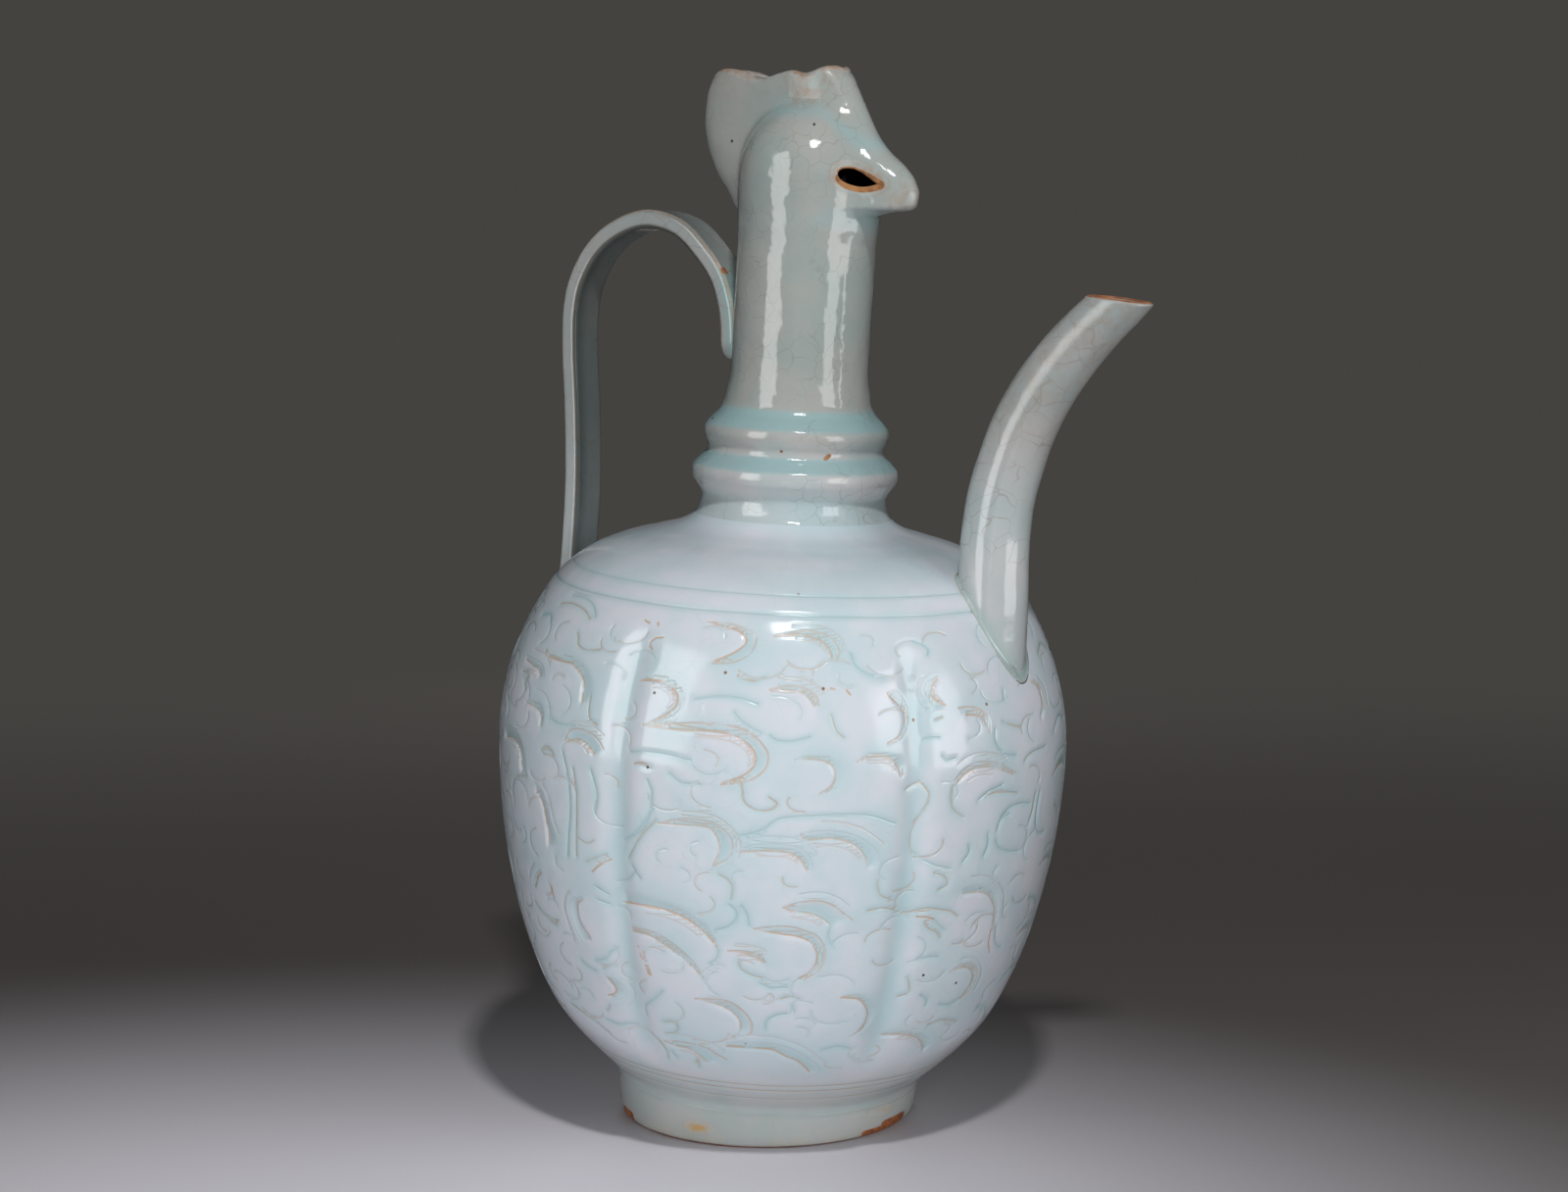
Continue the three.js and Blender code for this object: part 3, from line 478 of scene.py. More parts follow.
# Carving, read off the front as turn and height pairs. A petal is its outer and its inner edge,
# with a slanted cut between them that is deepest at the inner one; a line is a single cut.
# Everything is carved again half a turn round.
petals = [
    ((-75, 189.5, -70, 189.4, -66.5, 188.4, -64, 187, -63.5, 185, -64.5, 181, -67.5, 178, -72, 177),
     (-75, 189.5, -70, 188.3, -67, 187, -65.6, 185, -66, 183, -68, 180.5, -72, 177.5)),
    ((-60, 186.5, -53, 188.5, -48, 187, -46, 183, -46.5, 180),
     (-60, 186.5, -54, 187, -50, 185.8, -48, 183, -47.5, 180.5)),
    ((-87.5, 169, -84, 172, -80, 171.5, -77, 168.5, -76, 165.5, -77.5, 160, -80.5, 157, -83, 156.2),
     (-87.5, 169, -85, 169.5, -82, 170, -78.5, 167, -78, 163, -80, 159.5, -83, 156.5)),
    ((-84.5, 155.5, -78, 157, -74, 158, -69, 158.5, -64, 157, -61, 153.5, -59.5, 149.5, -60, 145,
      -63, 141, -68, 139),
     (-84.5, 155.5, -76, 155.5, -70, 156, -65, 154.5, -62, 150, -62, 146, -64, 142.5, -68, 139.5)),
    ((-60, 170, -57, 171.5, -53, 171, -51, 169, -50.5, 166),
     (-60, 170, -57, 170.3, -53.5, 169.6, -52, 167.8, -51.3, 165.8)),
    ((-36.5, 170, -34.5, 170.5, -32.5, 167, -31.8, 161, -33.3, 156, -37, 153.5),
     (-36.5, 170, -36, 168.5, -33.5, 165, -33, 160, -34.5, 156, -37, 154)),
    ((-55, 148.5, -52, 150.5, -48, 150.5, -45.5, 148, -45, 144, -46, 139.5, -50, 137),
     (-55, 148.5, -52, 149, -48.5, 148, -47, 144.5, -47.5, 140.5, -50, 137.5)),
    ((-43.5, 148, -41, 151, -37, 151, -34, 149.5, -33, 147, -33.2, 144),
     (-43.5, 148, -41, 149.6, -37, 149.5, -35, 146.5, -34, 143)),
    ((-65, 117, -62, 119.5, -57, 120.5, -53, 119.5, -51, 116, -50.5, 113),
     (-65, 117, -61, 117.8, -57, 118.2, -54, 117.2, -52.4, 115, -51.5, 112)),
    ((-53, 124.5, -48, 125.5, -43, 124, -40, 121, -38.5, 119, -37.5, 115),
     (-53, 124.5, -52, 122.5, -47, 123, -43, 121, -40.5, 117, -39.5, 113)),
    ((-80, 124, -75, 126.5, -70, 126.5, -67, 124, -65.5, 120.5, -66, 115, -69, 111.5),
     (-80, 124, -74, 124.5, -70, 124.5, -68, 120, -68, 116, -69, 112)),
    ((-89, 98.4, -85, 98.6, -81, 98.3, -77, 97, -74, 95.3, -71, 92.5, -69, 89, -68, 82.5),
     (-89, 94, -84, 94.8, -79, 94.5, -75, 92.8, -72, 89.8, -69.5, 86, -68, 82.5)),
    ((-87, 86, -82, 86, -79, 84, -76, 81, -73.5, 77.5, -71.3, 72),
     (-87, 84.5, -83, 84.5, -79.5, 82, -76.5, 79, -74, 76, -71.5, 72)),
    ((-61, 91, -57.5, 92, -54, 92.3, -51, 91, -48.5, 89, -47, 85, -46.8, 80, -48, 76, -50.5, 73.3),
     (-61, 91, -55.5, 89.6, -52, 88.8, -49.5, 86.5, -48.2, 82.5, -48.3, 79, -49.5, 76, -51.5, 73.8)),
    ((-66, 82.5, -63, 82.8, -60, 82, -58.5, 79.5), (-66, 82.5, -63, 81.8, -60.5, 80.8, -59, 79.3)),
    ((-55.5, 99, -52, 101, -48.5, 101.5, -46, 100, -44, 97.5, -42, 95),
     (-55.5, 99, -54, 98, -50, 97, -47.5, 95, -46, 93)),
    ((-73.5, 63.5, -70, 64, -66.5, 64, -64, 62, -62, 59, -61, 55, -61.5, 52, -65, 49.4),
     (-73.5, 63.5, -68, 62, -65.5, 60, -64, 57.5, -63.5, 54, -64, 51.5, -66, 49.7)),
    ((-43, 66.5, -40, 67.7, -37, 67.5, -35, 65.5, -33.5, 62, -33.2, 58, -34, 55, -35.5, 53, -38.5, 51),
     (-43, 66.5, -41, 66.5, -38, 65.5, -36, 62.5, -35, 59, -35.5, 55, -37, 52.5, -38.5, 51)),
    ((-67, 47.5, -63, 48.2, -58, 48.5, -54, 47.5, -50, 45, -47, 42, -44.5, 39, -43.5, 37),
     (-67, 46.2, -60, 46.3, -56, 46, -53, 43.5, -50, 41.5, -47.5, 38.5, -46.3, 36.5)),
    ((-83, 44.5, -80, 45.3, -76, 45.3, -72, 44.5, -70, 42.5, -67.5, 40.5),
     (-83, 44.5, -79, 43.2, -76.5, 43, -74.5, 41, -73, 38.5)),
    ((-118, 173.5, -115, 172, -110, 173, -106, 173, -102.5, 171.5, -99.5, 168.5, -98, 165, -97.5, 160),
     (-117, 171.5, -114, 170.5, -110, 170.3, -106, 170.3, -103, 168.5, -101, 166, -100.3, 162, -100, 159)),
    ((-126, 168, -121, 167.8, -117, 167.5, -115, 166, -114, 164),
     (-125, 166.5, -121, 166, -118, 165.5, -116, 163.5)),
    ((-119, 154.5, -115, 156, -112.5, 155.5, -110.8, 153, -110.3, 150, -110.5, 147),
     (-119, 154, -115.5, 153.3, -113.5, 153, -111.8, 151, -111.6, 148)),
    ((-103, 146.5, -101.5, 149.5, -99, 150.5, -96, 149.8, -94, 148, -92.8, 145.5),
     (-102.3, 145.5, -101, 146.3, -99, 147, -97, 146, -95, 143.5)),
    ((-130, 141.5, -126, 143, -122, 142.7, -119, 140.5, -117.3, 137, -116.5, 133, -116.3, 129),
     (-129, 138.5, -125, 139.5, -121.5, 139, -119.5, 137, -118.8, 133, -118.3, 130)),
    ((-112.5, 128, -110, 126, -108.3, 122, -107.5, 117, -106, 113, -105.5, 109),
     (-112, 125.5, -110, 122.5, -109, 118, -108.3, 112, -108.5, 108)),
    ((-99, 93, -102, 91.5, -103.6, 88, -103.3, 83, -102.2, 78.5, -101, 76),
     (-99, 92, -100.8, 90, -101.3, 87, -101.2, 84, -100, 81, -98.5, 78.5)),
    ((-93, 64.5, -91.5, 62, -91.5, 59.5, -93, 57.5, -95, 56.3),
     (-95.5, 65, -94.2, 63, -93.8, 61, -94.8, 59, -96.5, 58)),
    ((-117.5, 90, -116.5, 93, -115, 95.5, -113, 97.5), (-116.3, 90, -114.5, 94, -112.5, 96.5)),
    ((-25, 174.5, -27, 173.5, -28.3, 171, -28.2, 168, -27.3, 165, -27, 163.5),
     (-25, 173.5, -26.5, 171, -26.7, 168.5, -25.7, 166.5, -24, 165.3)),
    ((-21, 164, -18, 164, -15.5, 162.8, -13.8, 161, -13.2, 158.5, -13.5, 155),
     (-19, 161.5, -16, 161, -14.5, 159, -14, 157)),
    ((5, 169, 7.8, 165.5, 8, 162, 7.5, 158.5), (4, 168.5, 6, 166.5, 6.8, 163, 6.5, 159.5, 5, 156.5)),
    ((-22.5, 141, -20.5, 144, -17, 145.8, -13, 145, -9.5, 143, -6, 140),
     (-22, 140, -20, 142.5, -17, 144, -13, 143.5, -7, 140)),
    ((-20.5, 101.5, -17, 103.3, -13, 103, -10, 101, -7.5, 98.5, -6, 95, -5.3, 90, -4.5, 86),
     (-17.5, 101, -13, 100.3, -10, 98.5, -8, 95.5, -6.5, 92, -6.2, 88, -5, 85)),
    ((-16.5, 72, -14.5, 73.8, -11.5, 74, -9, 72.5, -7, 69.5, -6.3, 66, -7, 62.5, -9.5, 60.3),
     (-15.5, 73, -12, 72.8, -9.5, 71, -8, 68, -7.7, 65, -8.7, 62.5, -10.5, 60)),
    ((-29.5, 52, -26, 52, -21, 50.8, -18, 49.3, -15, 46.5, -12.5, 43),
     (-29.5, 50.3, -25, 50, -21, 48.5, -17.5, 45.8, -15.5, 43, -14.5, 41)),
    ((-149, 172, -145, 174, -141, 172.5, -139, 168, -140, 163),
     (-149, 172, -145, 172, -142, 170.5, -141, 167, -141, 163.5)),
    ((-147, 133, -142, 136, -137, 134.5, -135, 130, -136, 124),
     (-147, 133, -142, 134, -138.5, 132.5, -137, 129, -137, 125)),
    ((-146, 96, -140, 98.5, -135, 96.5, -132, 91, -133, 84),
     (-146, 96, -140, 96.3, -136.5, 94, -134.5, 90, -134, 85)),
    ((-145, 60, -140, 63, -134, 62, -130, 57.5, -129, 52),
     (-145, 60, -140, 61, -135.5, 59.5, -132.5, 56, -131, 51.5)),
    ((10, 135, 14, 139, 19, 139.5, 23, 136, 24.5, 130), (10, 135, 14.5, 137, 18.5, 137, 21.5, 134, 23, 130)),
    ((9, 103, 14, 106, 19, 105, 22.5, 101, 24, 95), (9, 103, 14, 104, 18.5, 102.8, 21, 99.5, 22.5, 95)),
    ((6, 78, 11, 81, 16, 80, 19.5, 76, 20.5, 71), (6, 78, 11, 79, 15.5, 78, 18, 75, 19, 71)),
]
lines = [
    (-43.5, 182, -42.5, 178, -40, 175.5, -37, 174.5), (-78, 141, -75.5, 138.5, -72, 138.5),
    (-87, 146, -83, 147, -79, 147, -74, 146), (-85, 142.5, -82, 142),
    (-82.5, 138, -81.5, 134, -83, 122, -86, 118, -88, 116), (-74.5, 165.5, -70, 167, -66, 167, -62, 165.5),
    (-66.5, 162.5, -65, 160, -63, 158, -61, 156.5), (-66, 173, -63, 172.5, -61, 174),
    (-59.5, 156, -58, 154.5, -55, 154.5, -52, 156), (-48, 163, -47, 158, -45.5, 156),
    (-64.5, 141, -64, 138, -63.5, 134, -61, 131.5, -58.5, 132, -57.5, 134, -59, 136),
    (-65, 122, -60, 125, -57, 129, -50, 130.5, -45, 131, -40, 130.5, -35, 127.5),
    (-81, 129, -83, 124, -86, 118, -88, 116), (-80.5, 125, -84, 118, -87, 110), (-84, 104, -86, 108),
    (-30, 141, -28, 136, -29, 131, -30.5, 126, -31, 120, -30, 115), (-68, 82.5, -68.5, 79, -70, 77),
    (-68, 109, -66.3, 107.5, -65.3, 105, -65.5, 101), (-66, 99, -64.6, 97, -64.5, 94, -66, 91, -68.5, 89.5),
    (-63.5, 99, -62.3, 95.5, -62, 92), (-59.5, 71.5, -57, 70, -54, 70.5),
    (-64, 79, -63.5, 76.5, -61.5, 74.5, -59, 73.5), (-46, 92.5, -46.3, 89, -45.5, 86),
    (-87, 53, -86.8, 57, -85, 59.3, -83, 61.5, -81, 64.5),
    (-82, 52.5, -80, 53.3, -78.5, 51.5, -79.5, 49, -82, 48), (-58, 54, -57.8, 57, -56, 59.5, -53.5, 60.5),
    (-55, 66, -53, 67, -51, 66), (-52.5, 64, -52, 61), (-87, 46, -85, 44, -83.5, 40, -84, 36.5),
    (-76, 37, -75, 39, -75.5, 35), (-82, 41, -81, 38), (-44.5, 46, -41, 47.3, -38, 46.5),
    (-37.5, 108, -37.3, 106, -36.5, 103, -34, 101),
    (-39, 98, -36, 98.5, -34, 98, -32, 96.5, -30, 96, -28, 96.8, -26, 97.2, -23, 96.3, -20, 95, -18, 93),
    (-121, 187, -117, 188, -113, 188, -109, 187, -106, 185),
    (-118, 190.5, -113, 190.8, -109, 190, -106, 188, -104.5, 186),
    (-128, 181.5, -125, 182.5, -122.5, 182.5, -121, 181),
    (-108, 180, -107, 178.5, -106, 176.5, -103, 175.5, -99, 176.5),
    (-98, 161.5, -97.8, 158, -97, 154.5, -95, 153),
    (-125, 162.5, -122.5, 163, -121, 161.5, -122.5, 160, -120.5, 158), (-109, 151.5, -106, 150.5, -101, 151),
    (-103.5, 142, -102, 136, -101.2, 130, -101, 122, -101.8, 113, -102.3, 106),
    (-100.2, 137, -99.2, 130, -99.2, 120, -99.5, 112, -99.6, 107),
    (-95.5, 138, -94.5, 134, -93.8, 130, -94.3, 124), (-132, 152, -130, 151, -129, 149, -129.3, 146),
    (-110.5, 140, -108.5, 141.8, -107, 141, -106, 139.5),
    (-124, 120, -124, 122, -122.5, 125.5, -120.5, 127.5, -116, 129),
    (-91.5, 77, -93.5, 74.5, -95, 72, -98, 70.5), (-96, 68, -94, 70, -92.5, 70.5), (-97, 54, -98.5, 51.5),
    (-100, 47.5, -96, 47, -92.5, 48.5, -90.5, 48.5), (-103, 69, -100.5, 67, -98.5, 66.5),
    (-118, 84, -115, 81.5, -111, 80.5, -108.5, 81), (-113, 80, -109.5, 79),
    (-115, 47.5, -112, 47, -108, 45.5, -105, 44.5, -103, 43, -101.5, 41), (-97, 106, -94.5, 108, -92, 110),
    (-90, 101, -87, 103, -85.5, 106), (-95, 98, -93.5, 97, -92, 96), (-95, 93.5, -92, 92.5),
    (-29, 185.5, -26.5, 184, -25.5, 182.5, -26, 181), (-26.8, 160.5, -25, 161.5),
    (-29.5, 154.5, -28, 155, -26, 155), (-7.5, 168, -7.8, 165),
    (-11.8, 156, -12, 152.5, -11, 149.5, -9, 147, -6, 146), (-9.5, 158, -7, 156.5, -3.5, 155),
    (-23, 139, -23.3, 135, -22.5, 131, -20, 128), (-16.5, 133, -14, 135.5, -10, 137),
    (-14.5, 134, -12, 134.7, -9, 134.3, -5, 133), (-9.5, 126, -7, 128.5, -3.5, 129, 0, 128),
    (-10.5, 121, -9.5, 125, -7, 126), (-10.5, 118, -9, 115, -6, 113, -2, 112), (2, 131, 1.5, 125, 0.5, 121),
    (4, 131, 3.5, 125, 4, 119, 6, 116, 9, 115.5), (-3, 143.5, -1, 145.3, 2, 146, 6, 146.3),
    (-30.8, 124, -31, 120, -29.5, 116, -26, 112.5, -22, 110.5),
    (-33, 138.5, -30, 140.5, -28.3, 138, -28, 134.5, -29, 130.5, -30.5, 127.5),
    (-18, 118, -17.5, 115.5, -19, 112), (-13, 121, -12.6, 117, -13.5, 113),
    (-25.5, 149, -24.5, 147.5, -22.5, 148), (-4.5, 86, -4, 82, -2.5, 78.5, 0, 76.5),
    (-25.5, 109.5, -23, 108, -22, 105, -24, 103.5), (-26, 92, -25, 90, -23, 88.5, -21.5, 86),
    (-24, 93, -22, 90, -20.7, 88.5), (-26, 78.8, -23, 79.2, -21, 78.8), (-16.5, 60, -13, 59, -10.5, 60),
    (-28.5, 65, -26.5, 66), (-23, 65, -21, 63, -20.5, 60.5), (-27.5, 72.5, -26.8, 70.5, -26, 66.5),
    (-17.5, 52, -14, 53, -10, 52, -7, 50.5), (0, 54, 4, 52.5, 8, 49.5, 12, 45, 16, 43),
    (-146, 186, -141, 188, -136, 186), (-147, 152, -141, 155, -135, 152), (-148, 115, -142, 112, -138, 107),
    (-146, 75, -140, 73, -136, 69), (-142, 45, -136, 47, -129, 45), (12, 176, 17, 178.5, 22, 176),
    (11, 150, 16, 154, 21, 152), (14, 124, 18, 120, 20, 114), (8, 92, 13, 90, 17, 86),
    (9, 62, 14, 64, 19, 62),
]
tanLines = [  # short brushes of iron along the carving
    (-28, 94.5, -25.5, 94, -24, 93), (-95.5, 103, -93.5, 106, -91, 108.5), (-6.5, 85, -6, 80, -4.5, 76),
    (-86, 79.5, -85.4, 75.5), (-85.4, 79.6, -84.8, 75.2), (-84.8, 79.8, -84.2, 75.6),
    (-84.4, 73, -83.8, 69.4), (-83.8, 73.2, -83.3, 69.8), (-108.9, 93, -108.6, 89.2),
    (-86, 182.5, -87.2, 181, -86, 178.8), (-86, 182.8, -84.2, 183.2), (-90, 187.6, -88.6, 187),
    (-86.6, 187.6, -86.2, 186.6), (-66.5, 173.8, -65.4, 174), (-48, 171.2, -47.2, 171),
    (-85.5, 142.4, -83.6, 143.3, -82, 142.2), (-45, 171, -44.2, 169.4),
]
specks = [  # turn, height, darkness
    (-23.8, 72.7, 1), (-13.5, 67.3, 1), (-31, 160.8, 0.5), (-13.5, 164.3, 0.6), (-83, 166, 0.9),
    (-82.5, 142.1, 0.9), (-49.5, 171.1, 0.5), (-69, 174.5, 0.5),
]
carving = {
    "steps": 5, "margin": 12, "slant": 0.22, "deepest": 0.75, "hollow": 0.8, "rounding": 0.9, "halo": 7.0,
    "outerTones": (0.0, -0.2, 0.5, 0.7), "innerTones": (0.9, 0.7, 0.6, 0.95),
    # scratches beside a petal's outer and inner edge: odds, the part left off at each end is one
    # over this, distance, tones, strength
    "scratches": ((0.6, 6, (2.2, 3.4), (-0.3, 0.2, 0.3), 0.45), (0.4, 5, (1.6, 2.8), (0.2, 0.3), 0.2)),
    "lineDepth": 0.32, "lineWidth": 0.8, "lineTones": (-0.6, -0.45, 0.5, 0.65),
    # width and share of the glaze in a line's bed and along its shores
    "bed": (1.3, 0.5), "shores": (4, 0.3),
    # share of the glaze at a petal's inner and outer edge and beside it; the depth that holds all of it
    "petalPool": (1.0, 0.4, 0.55), "fullFrom": 0.25,
    "tanTone": 1.0, "tanStrength": 0.15, "seed": 5,
    # hooks are tried at turn, height, size and start between these
    "hooks": 700, "hookFrom": (-150, 40, 2.6, 0), "hookTo": (25, 186, 6.2, 360), "clear": 3.7,
    "hookArc": (130, 12), "hookStretch": (1.4, 0.9), "hookTones": (-0.25, 0.3, 0.45), "hookStrength": 0.5,
    # border lines turned round the shoulder and above the foot: height, tone, depth
    "rings": ((198.5, -0.5, 0.25), (192.8, -0.8, 0.4), (29.2, 0.8, 0.18), (26.6, 0.8, 0.18),
              (22.3, 0.5, 0.12)),
    "ringWidth": 0.8, "ringPool": 1.6, "ringShare": 1.5, "fade": (16, 24), "none": 9.0,
}


def nearest(here, path):
    # offset from each point to the nearest place on a path, and the number of that stretch
    a, step = path[:-1], np.diff(path, axis=0)
    away = here[..., None, :] - a
    t = np.clip((away * step).sum(-1) / np.maximum((step * step).sum(-1), 1e-9), 0, 1)
    offset = t[..., None] * step - away
    k = (offset ** 2).sum(-1).argmin(-1)
    return np.take_along_axis(offset, k[..., None, None], -2)[..., 0, :], k


def inLoop(here, loop):
    # even-odd rule: a ray to the right crosses the loop an odd number of times
    u, v = here[..., None, 0], here[..., None, 1]
    (au, av), (bu, bv) = loop.T, np.roll(loop, -1, 0).T
    rises = np.where(np.abs(bv - av) < 1e-9, 1e-9, bv - av)
    return (((av > v) != (bv > v)) & (u < au + (v - av) * (bu - au) / rises)).sum(-1) % 2 == 1


columnTurns = np.arange(thrown["columns"]) * 360 / thrown["columns"]
turns = np.radians(columnTurns)
rowLengths = np.r_[np.linspace(0, lengthAt(thrown["belly"]), thrown["lowerRows"]),
                   np.linspace(*lengthAt([thrown["belly"], thrown["shoulder"]]), thrown["upperRows"])[1:]]
rowRadius, rowHeight = (np.interp(rowLengths, outlineLength, part) for part in outline.T)
shape = (len(rowLengths), thrown["columns"])
depth, pool, rimTone = np.zeros((3, *shape))
rim, speck = np.full((2, *shape, 3), carving["none"])
speck[..., 2] = 0
chance = np.random.default_rng(carving["seed"])


def unrolled(pairs, centre):
    # a stroke's curve in mm on the unrolled surface: turn times radius across, outline length up
    path = curveThrough(np.reshape(pairs, (-1, 2)), carving["steps"])
    return np.stack([np.radians(path[:, 0] - centre) * radiusAt(path[:, 1]), lengthAt(path[:, 1])], 1)


def window(centre, *paths):
    # rows and columns of the skin near some paths, and their places on the unrolled surface
    every = np.concatenate(paths)
    low, high = every.min(0) - carving["margin"], every.max(0) + carving["margin"]
    rows = np.flatnonzero((rowLengths > low[1]) & (rowLengths < high[1]))
    reach = np.degrees(max(-low[0], high[0]) / rowRadius[rows].min())
    columns = np.flatnonzero(np.abs(wrapped(columnTurns - centre)) < reach)
    u = np.radians(wrapped(columnTurns[columns] - centre)) * rowRadius[rows][:, None]
    return np.ix_(rows, columns), np.stack([u, rowLengths[rows][:, None] + 0 * u], -1)


def cut(place, depths, pools):
    # a cut leaves what was already deeper or fuller
    depth[place] = np.maximum(depth[place], depths)
    pool[place] = np.maximum(pool[place], pools)


def lay(place, offset, tone):
    # keep this edge where it is nearer than those laid before
    reach, known, tones = reachOf(offset), rim[place], rimTone[place]
    nearer = reach < known[..., 2]
    known[nearer] = np.concatenate([offset, reach[..., None]], -1)[nearer]
    tones[nearer] = tone
    rim[place], rimTone[place] = known, tones


def carvePath(centre, path, tone, strength):
    place, here = window(centre, path)
    offset, _ = nearest(here, path)
    reach, (width, share) = reachOf(offset), carving["shores"]
    cut(place, bell(reach, carving["lineWidth"], strength * carving["lineDepth"]),
        strength * (bell(reach, *carving["bed"]) + share * np.exp(-reach / width)))
    lay(place, offset, tone)


def carveLine(pairs, tone, strength=1.0):
    centre = np.mean(pairs[::2])
    carvePath(centre, unrolled(pairs, centre), tone, strength)


def carvePetal(outer, inner):
    centre = np.mean(outer[::2])
    out, into = unrolled(outer, centre), unrolled(inner, centre)
    place, here = window(centre, out, into)
    (toOut, _), (toIn, k) = nearest(here, out), nearest(here, into)
    fromOut, fromIn = reachOf(toOut), reachOf(toIn)
    inside = inLoop(here, np.concatenate([out, into[::-1]]))
    edgeDepth = np.minimum(carving["slant"] * reachOf(nearest(into, out)[0]), carving["deepest"])[k]
    across = fromIn / np.maximum(fromIn + fromOut, 1e-6)
    slanted = np.minimum(carving["slant"] * (fromIn + fromOut), carving["deepest"])
    deep = np.where(inside, slanted * (1 - across) ** carving["hollow"],
                    fading(fromIn, 0, carving["rounding"], edgeDepth))
    atIn, atOut, beside = carving["petalPool"]
    halo = beside * np.exp(-fromOut / carving["halo"]) * (fromOut < fromIn)
    cut(place, deep,
        np.where(inside, mix(atIn, atOut, across), halo) * smooth(edgeDepth, 0, carving["fullFrom"]))
    lay(place, toOut, chance.choice(carving["outerTones"]))
    lay(place, toIn, chance.choice(carving["innerTones"]))
    # light scratches follow the middle of an edge, on the side away from the other edge
    for edge, other, scratch in zip((out, into), (into, out), carving["scratches"]):
        odds, ends, gaps, tones, strength = scratch
        if chance.random() < odds:
            k = np.arange(len(edge) // ends, len(edge) * (ends - 1) // ends)
            away = unit(-nearest(edge[k], other)[0])
            carvePath(centre, edge[k] + away * chance.uniform(*gaps), chance.choice(tones), strength)


for petal in petals:
    carvePetal(*petal)
for pairs in lines:
    carveLine(pairs, chance.choice(carving["lineTones"]))
for pairs in tanLines:
    carveLine(pairs, carving["tanTone"], carving["tanStrength"])
# faint hooked scratches in the gaps: an arc of an ellipse, taken where nothing lies near
tried = chance.uniform(carving["hookFrom"], carving["hookTo"], (carving["hooks"], 4))
for turn, height, size, start in tried:
    here = np.abs(rowHeight - height).argmin(), int(turn % 360 / 360 * thrown["columns"])
    if rim[here][2] > carving["clear"]:
        angle = np.radians(start + np.linspace(0, *carving["hookArc"]))
        arc = np.stack([np.cos(angle), np.sin(angle)], 1) * carving["hookStretch"] * size
        arc += 0, lengthAt(height)
        carvePath(turn, arc, chance.choice(carving["hookTones"]), carving["hookStrength"])
for turn, height, dark in specks:
    at = np.array([0, lengthAt(height)])
    place, here = window(turn, at[None])
    speck[place] = np.insert(at - here, 2, dark, -1)

# the same carving half a turn round: take what is deeper, and the nearer edge
opposite = partial(np.roll, shift=thrown["columns"] // 2, axis=1)
depth, pool = np.maximum(depth, opposite(depth)), np.maximum(pool, opposite(pool))
nearer = opposite(rim)[..., 2] < rim[..., 2]
rim, rimTone = np.where(nearer[..., None], opposite(rim), rim), np.where(nearer, opposite(rimTone), rimTone)

for height, tone, deep in carving["rings"]:
    up = np.broadcast_to((lengthAt(height) - rowLengths)[:, None], shape)
    lay(..., np.stack([np.zeros(shape), up], -1), tone)
    cut(..., bell(up, carving["ringWidth"], deep), bell(up, carving["ringPool"], carving["ringShare"] * deep))

turnGrid, z = np.meshgrid(wrapped(columnTurns), rowHeight)
groove = grooveShare(turnGrid, z)
share, power = grooves["pooled"]
pool = np.maximum(pool, share * groove ** power) + hill(z, *thrown["shoulderPool"])
pool = np.maximum(np.clip(pool, 0, 1), fading(z, *thrown["footPool"])
                  + thrown["collarShare"] * smooth(z, *thrown["collarPool"]))
radius = rowRadius[:, None] - grooves["depth"] * groove - depth * smooth(z, *carving["fade"])
skin = np.stack([radius * np.cos(turns), radius * np.sin(turns), z], -1)
print("carving done")


def ringPoints(radii, heights, angles=turns):
    # rings of points round the axis
    r, z = np.array(radii, float)[:, None], np.array(heights, float)[:, None]
    return np.stack([r * np.cos(angles), r * np.sin(angles), z + 0 * angles], -1)


# normals shared with the foot, between both bowls and with the collar
seamRow = thrown["lowerRows"] - 1
aboveBody = ringPoints([radiusAt(thrown["shoulder"] + 1)], [thrown["shoulder"] + 1])
skinNormals = normalsOf(np.concatenate([skin, aboveBody]))[:-1]
skinNormals[1:seamRow] = skinNormals[seamRow + 1:-1] = 0


def bowl(name, node, part, before, after, poles):
    # a bowl's shell: its share of the carved skin between hidden rings, closed by two poles or else
    # from its last ring to its first
    grid = np.concatenate([before, skin[part], after])
    table = gridNumbers(*grid.shape)
    points = np.concatenate([grid.reshape(-1, 3), poles])
    faces = [gridFaces(table)]
    if len(poles):
        bottom, top = (np.full(thrown["columns"], len(points) - k) for k in (2, 1))
        faces += [strip(bottom, table[0]), strip(table[-1], top)]
    else:
        faces.append(strip(table[-1], table[0]))

    def onShell(values):
        kept = np.zeros((len(points), *values.shape[2:]))
        kept[table[len(before):len(before) + len(skin[part])]] = values[part]
        return kept

    piece(name, node, "body_glaze", points,
          {"pool": onShell(pool), "rim": onShell(rim), "rimTone": onShell(rimTone), "speck": onShell(speck)},
          faces, normals=onShell(skinNormals))


def innerRings(top, bottom, over=0):
    # heights down the inside of a bowl, and the radii there
    heights = np.linspace(top, bottom, thrown["hiddenRings"])
    return radiusAt(heights + over) - thrown["wall"], heights


